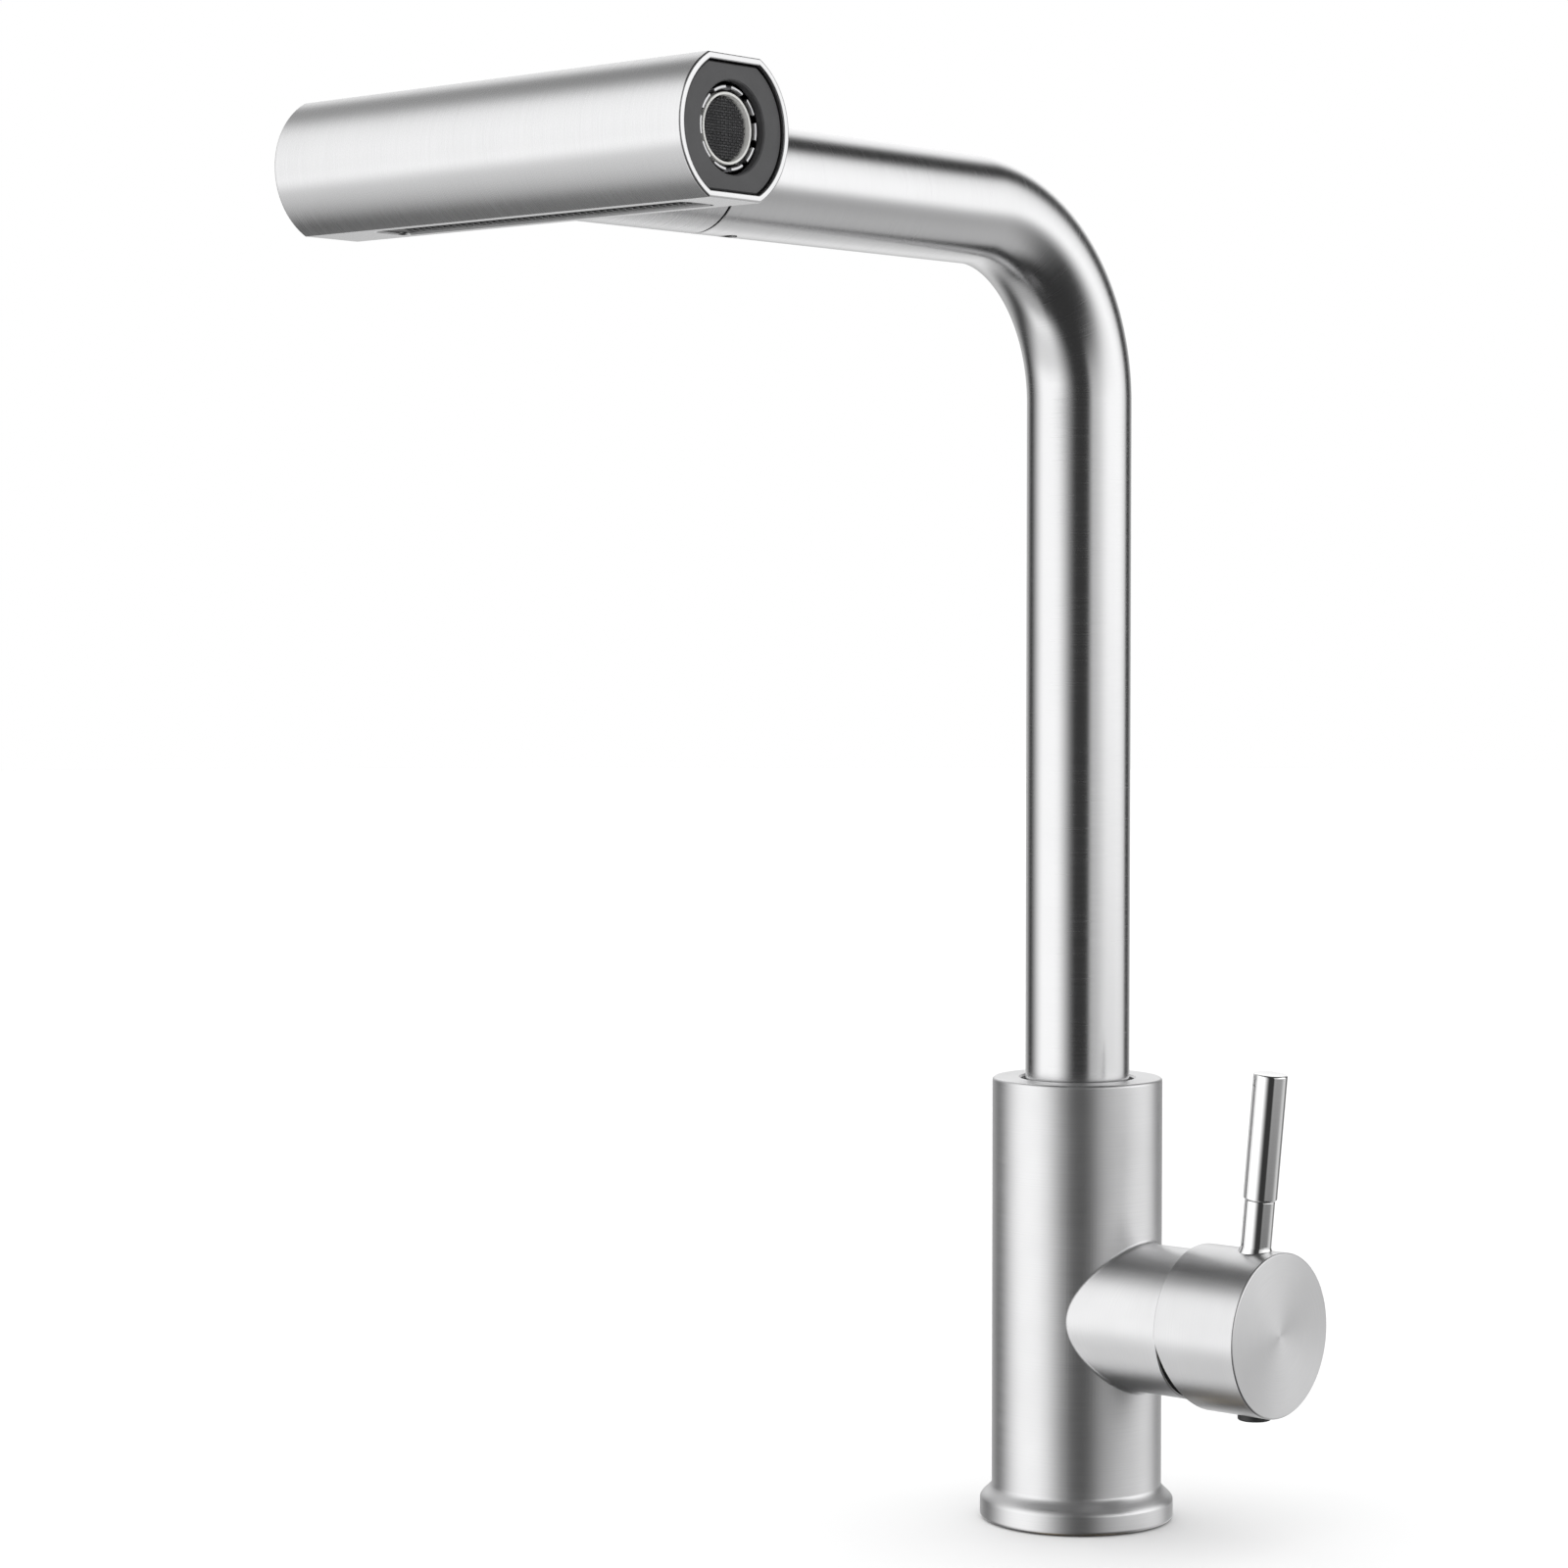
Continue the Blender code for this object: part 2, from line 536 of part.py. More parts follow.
# ---------------------------------------------------------------- spout and its swivel
def make_swivel():
    bush = BODY_BORE - GAP
    top, foot = 110.0 * MM, 88.0 * MM
    roof = BODY_TOP - BODY_ROOF
    circlip_top = 83.7 * MM
    part(ring("upper_swivel_bush", TUBE_RADIUS + GAP, bush, top + GAP, roof - GAP, steps=MEDIUM),
         "white_plastic")
    part(ring("lower_swivel_bush", TUBE_RADIUS + GAP, bush, circlip_top + GAP, foot - GAP,
              steps=MEDIUM), "white_plastic")
    part(ring("swivel_circlip", 15.5 * MM, bush, circlip_top - 1.7 * MM, circlip_top,
              steps=MEDIUM), "steel")
    outer = 19.0 * MM
    groove = 17.0 * MM
    step = 12.9 * MM                # the riser stands on this step
    profile = [(TUBE_RADIUS + GAP, top), (outer, top)]
    seal_heights = (104.5 * MM, 93.5 * MM)
    seal_half = 1.6 * MM
    screw_half = 2.9 * MM
    grooves = ((seal_heights[0], seal_half), (SPOUT_SCREW_HEIGHT, screw_half),
               (seal_heights[1], seal_half))
    for height, half_width in grooves:
        profile += [(outer, height + half_width), (groove, height + half_width),
                    (groove, height - half_width), (outer, height - half_width)]
    profile += [(outer, foot), (step, foot), (step, SPOUT_FOOT - GAP),
                (TUBE_RADIUS + GAP, SPOUT_FOOT - GAP)]
    part(turned("swivel_adapter", profile, steps=MEDIUM), "brass", "spout")
    for name, height in zip(("swivel_oring_upper", "swivel_oring_lower"), seal_heights):
        part(oring(name, 18.6 * MM, 1.25 * MM, height), "rubber", "spout")
    part(rod("spout_grub_screw", 2.5 * MM, -22.4 * MM, -17.5 * MM, (0, 0, SPOUT_SCREW_HEIGHT),
             FORWARD, 16), "steel")


def make_spout():
    spout = part(piped("spout_tube", spout_route(SPOUT_FOOT, ARM_END), TUBE_RADIUS, FINE),
                 "brushed", "spout")
    bore = spout_route(SPOUT_FOOT - 5 * MM, ARM_END + 5 * MM)
    bore = cutter(piped("spout_bore", bore, TUBE_RADIUS - TUBE_WALL, 20))
    screw_at = Vector((0, -140.4 * MM, ARM_HEIGHT))
    screw_hole = cutter(rod("dock_screw_hole", 2.5 * MM, 10 * MM, 16 * MM, screw_at, DOWN, 16))
    cut(spout, bore, screw_hole)
    sleeve = part(ring("dock_sleeve", 11.5 * MM, 12.5 * MM, 100 * MM, ARM_END - GAP, ARM, FORWARD,
                       MEDIUM), "dark_plastic", "spout")
    cut(sleeve, screw_hole)
    part(rod("dock_screw", 2.2 * MM, 11.75 * MM, 13.7 * MM, screw_at, DOWN, 16), "dark_plastic",
         "spout")


def make_hose():
    """The hose inside the tap, cut where the spout swivels and where the head pulls out."""
    lower = [(HOSE_OFFSET, 0.0, SHANK_END + MM), (HOSE_OFFSET, 0.0, 10 * MM)]
    turn_from = 74 * MM
    turn_to = 101 * MM
    steps = 8
    for index in range(steps + 1):
        share = index / steps
        swing = share * share * (3 - 2 * share)
        height = turn_from + (turn_to - turn_from) * share
        lower.append((HOSE_OFFSET * (1 - swing), 0.0, height))
    lower.append((0.0, 0.0, HOSE_CENTRED))
    part(piped("lower_hose", lower, HOSE_RADIUS), "braid")
    split = 60 * MM
    hose_end = 107.5 * MM
    riser = spout_route(HOSE_CENTRED + GAP, split - GAP, 8)
    part(piped("riser_hose", riser, HOSE_RADIUS), "braid", "spout")
    end = [(0.0, -split, ARM_HEIGHT), (0.0, -hose_end, ARM_HEIGHT)]
    part(piped("wand_hose", end, HOSE_RADIUS), "braid", "hose_end")
    bore, stub, sleeve = 3.0 * MM, 4.5 * MM, 7.4 * MM
    sleeve_start, sleeve_end, stub_end = 88 * MM, 109.5 * MM, 126 * MM
    ferrule = [(bore, stub_end), (stub, stub_end), (stub, sleeve_end), (sleeve, sleeve_end),
               (sleeve, sleeve_start), (HOSE_RADIUS + GAP, sleeve_start),
               (HOSE_RADIUS + GAP, hose_end + 0.5 * MM), (bore, hose_end + 0.5 * MM)]
    part(turned("hose_ferrule", ferrule, ARM, FORWARD), "steel", "hose_end")
    thread, nut_radius = 7.5 * MM, 9.5 * MM
    nut_foot, nut_seat, nut_end = 111.3 * MM, 118 * MM, 127.5 * MM
    nut = [(thread, nut_end), (nut_radius, nut_end), (nut_radius, nut_foot),
           (stub + GAP, nut_foot), (stub + GAP, nut_seat), (thread, nut_seat)]
    part(turned("hose_nut", nut, ARM, FORWARD), "brass", "hose_end")


# ---------------------------------------------------------------- pull-out head
def make_neck():
    bore, valve_bore, groove = 5.0 * MM, 7.3 * MM, 10.0 * MM
    socket, collar, tip = 11.1 * MM, 12.4 * MM, 7.2 * MM    # outer radii of the plug's steps
    collar_start, collar_end, plug_end = 152.1 * MM, 160.0 * MM, 172.0 * MM
    tip_start, tip_end, valve_seat = 119.0 * MM, 128.0 * MM, 150.0 * MM
    seal_at = 140.0 * MM
    plug = [(valve_bore, plug_end), (groove, plug_end), (groove, collar_end),
            (collar, collar_end), (collar, collar_start), (socket, collar_start),
            (socket, seal_at + MM), (groove, seal_at + MM), (groove, seal_at - MM),
            (socket, seal_at - MM), (socket, tip_end), (tip, tip_end),
            (tip, tip_start), (bore, tip_start), (bore, valve_seat), (valve_bore, valve_seat)]
    part(turned("dock_plug", plug, ARM, FORWARD), "dark_plastic", "wand")
    part(oring("dock_oring", 10.7 * MM, 0.5 * MM, seal_at, ARM, FORWARD), "rubber", "wand")
    valve_start = valve_seat + 0.5 * MM
    part(ring("check_valve", 3 * MM, valve_bore - GAP, valve_start, valve_start + 15 * MM, ARM,
              FORWARD), "white_plastic", "wand")
    inside_head = REACH - 5.6 * MM
    neck = ring("neck_tube", TUBE_RADIUS - TUBE_WALL, TUBE_RADIUS, NECK_START, inside_head, ARM,
                FORWARD, FINE)
    part(neck, "brushed", "wand")
    saddle = cutter(rod("saddle", HEAD_RADIUS + GAP, -30 * MM, 30 * MM, HEAD, ALONG_X, FINE))
    cut(neck, saddle)


def head_prism(name, inset, low, high, steps=8):
    """A length of the head's flat-sided section, taken in by inset all round."""
    outline = flat_sided_outline(HEAD_RADIUS - inset, HEAD_HALF_HEIGHT - inset, steps)
    return extruded(name, outline, low, high, HEAD, ALONG_X)


SPIGOT_RADIUS = 7.0 * MM
CHAMBER_LEFT = -46.0 * MM
CHAMBER_RIGHT = 50.0 * MM


def make_head():
    shell = part(head_prism("head_shell", 0.0, HEAD_LEFT, HEAD_RIGHT, 12), "brushed", "wand")
    hollow = cutter(head_prism("head_hollow", HEAD_WALL, HEAD_LEFT - MM, HEAD_RIGHT + MM))
    outlet = cutter(box("outlet_window", (OUTLET_LEFT, -OUTLET_HALF_WIDTH, -20 * MM),
                        (OUTLET_RIGHT, OUTLET_HALF_WIDTH, -10 * MM), HEAD))
    neck_hole = cutter(rod("neck_hole", 9 * MM, -30 * MM, -5 * MM, HEAD, FORWARD, COARSE))
    cut(shell, hollow, outlet, neck_hole)

    chamber = part(head_prism("water_chamber", HEAD_WALL + GAP, CHAMBER_LEFT, CHAMBER_RIGHT),
                   "dark_plastic", "wand")
    spigot = cutter(rod("spigot_blank", SPIGOT_RADIUS, -45 * MM, -12 * MM, HEAD, FORWARD, COARSE))
    join(chamber, spigot)
    spool_bore = rod("spool_bore", 8 * MM, CHAMBER_LEFT - MM, 20 * MM, HEAD, ALONG_X)
    throat = rod("throat", 5 * MM, 19 * MM, 39 * MM, HEAD, ALONG_X)
    aerator_bore = rod("aerator_bore", 9.7 * MM, 38 * MM, CHAMBER_RIGHT + MM, HEAD, ALONG_X)
    inlet = rod("inlet_bore", 4.5 * MM, -50 * MM, -2 * MM, HEAD, FORWARD)
    feed = box("curtain_feed", (-40 * MM, -2 * MM, -18 * MM), (34 * MM, 2 * MM, -6 * MM), HEAD)
    cut(chamber, *[cutter(tool) for tool in (spool_bore, throat, aerator_bore, inlet, feed)])

    plate = part(box("curtain_plate", (OUTLET_LEFT + GAP, -4.9 * MM, -15.1 * MM),
                     (OUTLET_RIGHT - GAP, 4.9 * MM, -14.1 * MM), HEAD), "dark_plastic", "wand")
    slit = box("curtain_slit", (OUTLET_LEFT + 5 * MM, -0.9 * MM, -18 * MM),
               (OUTLET_RIGHT - 5 * MM, 0.9 * MM, -10 * MM), HEAD)
    cut(plate, cutter(slit))
    make_flow_straightener()


def make_flow_straightener():
    """A comb that stands in the curtain's feed slot, with its teeth pointing down."""
    left, right = -39.5 * MM, 33.5 * MM
    teeth = 12
    pitch = (right - left) / (2 * teeth - 1)
    top, root, tip = -9.0 * MM, -10.5 * MM, -13.4 * MM
    outline = [(left, top)]
    for index in range(teeth):
        start = left + 2 * index * pitch
        outline += [(start, tip), (start + pitch, tip)]
        if index < teeth - 1:
            outline += [(start + pitch, root), (start + 2 * pitch, root)]
    outline.append((right, top))
    part(extruded("flow_straightener", outline, -1.6 * MM, 1.6 * MM, HEAD, FORWARD),
         "white_plastic", "wand")


def make_aerator():
    plate = part(head_prism("end_plate", HEAD_WALL + GAP, HEAD_RIGHT - 2.8 * MM,
                            HEAD_RIGHT - 0.8 * MM), "grey_plastic", "wand")
    cut(plate, cutter(rod("end_plate_hole", 10.2 * MM, 60 * MM, 70 * MM, HEAD, ALONG_X, MEDIUM)))
    rim = HEAD_RIGHT - AERATOR_SINK
    housing = part(ring("aerator_housing", 8.3 * MM, 9.4 * MM, 40 * MM, rim, HEAD, ALONG_X, FINE),
                   "steel", "wand")
    notches = 10
    for index in range(notches):
        turn = (2 * math.pi * index / notches, 0.0, 0.0)
        notch = box("rim_notch_%d" % index, (rim - 1.9 * MM, -0.9 * MM, 7.5 * MM),
                    (rim + MM, 0.9 * MM, 10.5 * MM), HEAD, turn)
        cut(housing, cutter(notch))
    part(ring("aerator_ring", 7.0 * MM, 7.9 * MM, 45 * MM, HEAD_RIGHT - RING_SINK, HEAD, ALONG_X,
              FINE), "white_plastic", "wand")
    face = HEAD_RIGHT - MESH_SINK
    part(rod("aerator_mesh", 6.7 * MM, face - 1.2 * MM, face, HEAD, ALONG_X), "grey_plastic",
         "wand")
    part(ring("aerator_washer", 6 * MM, 9.3 * MM, 38.3 * MM, 39.7 * MM, HEAD, ALONG_X), "rubber",
         "wand")


def make_selector():
    plate = part(head_prism("button_plate", HEAD_WALL + GAP, HEAD_LEFT + 0.8 * MM,
                            HEAD_LEFT + 2.8 * MM), "grey_plastic", "wand")
    cut(plate, cutter(rod("button_hole", 9.7 * MM, HEAD_LEFT - MM, HEAD_LEFT + 4 * MM, HEAD,
                          ALONG_X, MEDIUM)))
    front = HEAD_LEFT - 1.0 * MM
    edge = 0.6 * MM
    stem = 3.0 * MM
    button = [(0.0, front + 4 * MM), (stem + GAP, front + 4 * MM), (stem + GAP, -54 * MM),
              (4.4 * MM, -54 * MM), (4.4 * MM, -58 * MM), (9.4 * MM, -58 * MM),
              (9.4 * MM, front + edge), (9.4 * MM - edge, front), (0.0, front)]
    part(turned("mode_button", button, HEAD, ALONG_X, MEDIUM), "dark_plastic", "button")
    land = 6.8 * MM
    groove = 6.0 * MM
    half_width = 1.0 * MM
    seals = (-14 * MM, -38 * MM)
    spool = [(0.0, -11 * MM), (land, -11 * MM)]
    for place in seals:
        spool += [(land, place + half_width), (groove, place + half_width),
                  (groove, place - half_width), (land, place - half_width)]
        if place == seals[0]:
            spool += [(land, -18 * MM), (stem, -18 * MM), (stem, -34 * MM), (land, -34 * MM)]
    spool += [(land, -41 * MM), (stem, -41 * MM), (stem, front + 4.4 * MM), (0.0, front + 4.4 * MM)]
    part(turned("diverter_spool", spool, HEAD, ALONG_X), "brass", "button")
    for name, place in zip(("spool_oring_inner", "spool_oring_outer"), seals):
        part(oring(name, 7.0 * MM, 0.65 * MM, place, HEAD, ALONG_X), "rubber", "button")
    turns = 3
    per_turn = 8
    coil_radius = 5.4 * MM
    start, end = -57.2 * MM, -50.8 * MM
    coil = []
    for index in range(turns * per_turn + 1):
        angle = 2 * math.pi * index / per_turn
        along = start + (end - start) * index / (turns * per_turn)
        coil.append((along, coil_radius * math.cos(angle), coil_radius * math.sin(angle)))
    spring = piped("button_spring", coil, 0.5 * MM, 8)
    spring.location = HEAD
    part(spring, "steel", "button")


make_body()
make_deck_fixing()
make_water_ways()
make_cartridge()
make_handle()
make_swivel()
make_spout()
make_hose()
make_neck()
make_head()
make_aerator()
make_selector()
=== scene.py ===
"""Kitchen tap with a pull-out bar head: fine meshes, finishes and the studio it stands in."""

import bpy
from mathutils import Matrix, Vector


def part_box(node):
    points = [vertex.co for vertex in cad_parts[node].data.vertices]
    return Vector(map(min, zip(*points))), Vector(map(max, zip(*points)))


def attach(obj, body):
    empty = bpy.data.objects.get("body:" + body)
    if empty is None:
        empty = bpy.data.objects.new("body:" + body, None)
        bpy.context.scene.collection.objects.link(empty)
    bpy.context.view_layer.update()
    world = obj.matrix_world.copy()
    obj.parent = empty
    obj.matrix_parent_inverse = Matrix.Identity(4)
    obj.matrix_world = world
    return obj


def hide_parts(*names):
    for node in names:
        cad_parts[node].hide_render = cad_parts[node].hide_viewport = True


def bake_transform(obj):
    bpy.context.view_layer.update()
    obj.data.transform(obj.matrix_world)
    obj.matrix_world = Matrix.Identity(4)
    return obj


bl_info = {
    "name": "Kitchen tap with pull-out head",
    "version": (1, 0, 0),
    "blender": (4, 5, 0),
    "location": "View3D > Sidebar > Tap",
    "description": "Builds the visible pieces of a kitchen tap round its packed frame",
    "category": "Object",
}

import math

import bmesh
import bpy
from mathutils import Matrix, Vector

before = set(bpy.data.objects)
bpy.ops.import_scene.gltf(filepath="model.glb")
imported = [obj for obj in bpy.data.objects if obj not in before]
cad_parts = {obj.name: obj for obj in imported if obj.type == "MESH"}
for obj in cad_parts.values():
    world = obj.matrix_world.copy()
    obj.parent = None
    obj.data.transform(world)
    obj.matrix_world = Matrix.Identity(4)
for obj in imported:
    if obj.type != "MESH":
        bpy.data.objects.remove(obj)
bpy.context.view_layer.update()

MM = 0.001
GRAIN = "grain"                       # name of the map that runs along each piece, in metres

# Sizes read from the frame, in metres.
BODY_LOW, BODY_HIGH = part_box("body_shell")
CAP_LOW, CAP_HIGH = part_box("handle_cap")
SPOUT_LOW, SPOUT_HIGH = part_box("spout_tube")
HEAD_LOW, HEAD_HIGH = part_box("head_shell")
OUTLET_LOW, OUTLET_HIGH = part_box("curtain_plate")
PLATE_LOW, PLATE_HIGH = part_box("end_plate")
HOUSING_LOW, HOUSING_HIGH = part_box("aerator_housing")
RING_LOW, RING_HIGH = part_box("aerator_ring")
MESH_LOW, MESH_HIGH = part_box("aerator_mesh")
BUTTON_PLATE_LOW, BUTTON_PLATE_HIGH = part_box("button_plate")
BUTTON_LOW, BUTTON_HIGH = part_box("mode_button")
PLUG_LOW, PLUG_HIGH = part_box("index_plug")
SHANK_LOW, SHANK_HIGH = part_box("mounting_shank")
NUT_LOW, NUT_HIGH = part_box("shank_nut")

TUBE_RADIUS = SPOUT_HIGH.x
ARM_HEIGHT = (HEAD_LOW.z + HEAD_HIGH.z) / 2
REACH = -(HEAD_LOW.y + HEAD_HIGH.y) / 2
VALVE_HEIGHT = (CAP_LOW.z + CAP_HIGH.z) / 2
SPOUT_FOOT = SPOUT_LOW.z
ARM_END = -SPOUT_LOW.y
NECK_START = -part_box("neck_tube")[1].y

# Directions, and the places that the boss, the arm and the head are measured from.
X_AXIS = Vector((1.0, 0.0, 0.0))
Y_AXIS = Vector((0.0, 1.0, 0.0))
Z_AXIS = Vector((0.0, 0.0, 1.0))
BOSS = Vector((0.0, 0.0, VALVE_HEIGHT))
ARM = Vector((0.0, 0.0, ARM_HEIGHT))
HEAD = Vector((0.0, -REACH, ARM_HEIGHT))


# ---------------------------------------------------------------- sizes and colours
def length(name, description, default):
    return bpy.props.FloatProperty(name=name, description=description, default=default,
                                   min=0.0, unit="LENGTH", precision=5)


def share(name, description, default):
    return bpy.props.FloatProperty(name=name, description=description, default=default,
                                   min=0.0, max=1.0, subtype="FACTOR")


def colour(name, description, default):
    return bpy.props.FloatVectorProperty(name=name, description=description, default=default,
                                         size=3, min=0.0, max=1.0, subtype="COLOR")


class TapSizes(bpy.types.PropertyGroup):
    facets: bpy.props.IntProperty(name="Facets", description="Facets round a wide piece",
                                  default=160, min=24)
    body_radius: length("Body radius", "Radius of the round body above its foot", 22.9 * MM)
    rim_height: length("Foot rim height", "Height of the upright edge of the foot", 5.0 * MM)
    flare_height: length("Flare height", "Height where the body meets the flare", 9.5 * MM)
    body_edge: length("Body edge", "Rounding of the body's top edge", 0.9 * MM)
    mouth_radius: length("Mouth radius", "Hole in the body's roof for the riser", 15.3 * MM)
    body_bore: length("Body bore", "Inner radius of the body", 20.4 * MM)
    body_roof: length("Body roof", "Thickness of the roof round the riser", 5.5 * MM)
    boss_radius: length("Boss radius", "Radius of the side boss", 19.7 * MM)
    boss_end: length("Boss end", "Distance of the boss's face from the riser's axis", 40.6 * MM)
    boss_bore: length("Boss bore", "Inner radius of the side boss", 17.7 * MM)
    seal_seat: length("Seal seat", "Radius of the dust seal's seat in the boss's end", 19.2 * MM)
    boss_fillet: length("Boss fillet", "Radius of the weld between boss and body", 1.0 * MM)
    cap_edge: length("Cap edge", "Rounding of the cap's outer edge", 0.45 * MM)
    cap_relief: bpy.props.FloatProperty(name="Cap relief",
                                        description="Lean of the cap's lower rim",
                                        default=math.radians(16.0), subtype="ANGLE")
    cap_cavity: length("Cap cavity", "Inner radius of the cap's rim", 20.2 * MM)
    cap_solid: length("Cap solid part", "Where the cap turns solid", 50.0 * MM)
    tube_wall: length("Tube wall", "Wall of the riser, arm and neck", 1.2 * MM)
    bend_radius: length("Bend radius", "Radius of the spout's bend", 48.0 * MM)
    neck_depth: length("Neck depth", "Distance of the neck's far end from the head's axis",
                       5.6 * MM)
    head_radius: length("Head radius", "Radius of the head's round sides", 17.77 * MM)
    head_wall: length("Head wall", "Wall of the head's shell", 1.6 * MM)
    rod_radius: length("Lever rod radius", "Radius of the lever's thin lower rod", 4.0 * MM)
    rod_length: length("Lever rod length", "Length of the rod below the grip", 13.4 * MM)
    grip_radius: length("Grip radius", "Radius of the lever's grip", 4.45 * MM)
    lever_length: length("Lever length", "Length of the lever above the cap", 46.7 * MM)
    lever_place: length("Lever place", "Where the lever stands along the cap", 58.5 * MM)
    lever_lean: bpy.props.FloatProperty(name="Lever lean", description="Outward lean",
                                        default=math.radians(5.5), subtype="ANGLE")
    hose_radius: length("Hose radius", "Radius of the braided hose", 6.0 * MM)
    thread_pitch: length("Thread pitch", "Pitch of the shank's thread", 2.0 * MM)


class TapFinishes(bpy.types.PropertyGroup):
    steel: colour("Steel", "Colour of the brushed steel", (0.66, 0.66, 0.665))
    body_colour: colour("Body steel", "Colour of the body's duller steel", (0.76, 0.76, 0.765))
    body_roughness: share("Body roughness", "Roughness of the brushed body and cap", 0.43)
    tube_roughness: share("Tube roughness", "Roughness of the riser, arm and neck", 0.24)
    head_roughness: share("Head roughness", "Roughness of the head's shell", 0.28)
    chrome: colour("Chrome", "Colour of the polished lever", (0.80, 0.80, 0.80))
    brass: colour("Brass", "Colour of the fittings inside", (0.62, 0.45, 0.19))
    black_plastic: colour("Black plastic", "Outlet and plugs", (0.020, 0.020, 0.021))
    grey_plastic: colour("Grey plastic", "End plates", (0.050, 0.050, 0.052))
    white_plastic: colour("White plastic", "Aerator ring and bushes", (0.62, 0.62, 0.60))
    rubber: colour("Rubber", "Seals and gasket", (0.016, 0.016, 0.016))
    ceramic: colour("Ceramic", "Valve discs", (0.86, 0.85, 0.81))
    braid: colour("Braid", "Hose braid", (0.34, 0.34, 0.35))


class TapStage(bpy.types.PropertyGroup):
    camera_place: bpy.props.FloatVectorProperty(
        name="Camera place", description="Where the camera stands", size=3,
        default=(0.6530, -0.8573, 0.2391), subtype="TRANSLATION")
    camera_turn: bpy.props.FloatVectorProperty(
        name="Camera turn", description="Which way the camera looks", size=3,
        default=(math.radians(87.843), 0.0, math.radians(41.514)), subtype="EULER")
    camera_lens: bpy.props.FloatProperty(
        name="Lens", description="Focal length in millimetres", default=91.64, min=1.0)
    floor_radius: length("Floor radius", "Radius of the pale floor", 6.0)
    floor_colour: colour("Floor colour", "Colour of the pale floor", (0.90, 0.90, 0.90))


# ---------------------------------------------------------------- mesh work
def straight(place, axis, side):
    """A line for turned pieces: height runs along axis from place."""
    across = axis.cross(side)

    def line(height):
        return place + axis * height, side, across

    return line


def upright(place=Vector()):
    return straight(place, Z_AXIS, Vector((-0.6, 0.8, 0.0)))


def sideways(place):
    return straight(place, X_AXIS, Y_AXIS)


def forward(place):
    return straight(place, -Y_AXIS, -X_AXIS)


def downward(place):
    return straight(place, -Z_AXIS, Y_AXIS)


def spout_line(bend_radius):
    """The centre line of the spout: up the riser, round the bend and out along the arm."""
    bend_start = ARM_HEIGHT - bend_radius
    bend_length = bend_radius * math.pi / 2

    def line(height):
        past = height - bend_start
        if past <= 0.0:
            return Vector((0.0, 0.0, height)), -X_AXIS, -Y_AXIS
        if past >= bend_length:
            out = bend_radius + past - bend_length
            return Vector((0.0, -out, ARM_HEIGHT)), -X_AXIS, -Z_AXIS
        angle = past / bend_radius
        centre = Vector((0.0, -bend_radius * (1 - math.cos(angle)),
                         bend_start + bend_radius * math.sin(angle)))
        return centre, -X_AXIS, Vector((0.0, -math.cos(angle), -math.sin(angle)))

    return line


def spout_travel(out, bend_radius):
    """Distance along the spout's line of the point that lies this far out along the arm."""
    return ARM_HEIGHT - bend_radius + bend_radius * math.pi / 2 + out - bend_radius


def rounded(corners, steps=6, closed=False):
    """A profile whose corners may have a third number, the radius that rounds them."""
    points = [Vector(corner[:2]) for corner in corners]
    profile = []
    for index, corner in enumerate(corners):
        inside = closed or 0 < index < len(corners) - 1
        if len(corner) < 3 or not inside:
            profile.append(tuple(points[index]))
            continue
        before = (points[index - 1] - points[index]).normalized()
        after = (points[(index + 1) % len(points)] - points[index]).normalized()
        half = before.angle(after) / 2
        centre = points[index] + (before + after).normalized() * corner[2] / math.sin(half)
        start = points[index] + before * corner[2] / math.tan(half) - centre
        sweep = start.angle_signed(points[index] + after * corner[2] / math.tan(half) - centre)
        for step in range(steps + 1):
            arm = start.copy()
            arm.rotate(Matrix.Rotation(-sweep * step / steps, 2))
            profile.append(tuple(centre + arm))
    return profile


def circle(radius, height, count):
    turns = [2 * math.pi * index / count for index in range(count)]
    return [(radius * math.cos(turn), radius * math.sin(turn)) for turn in turns]


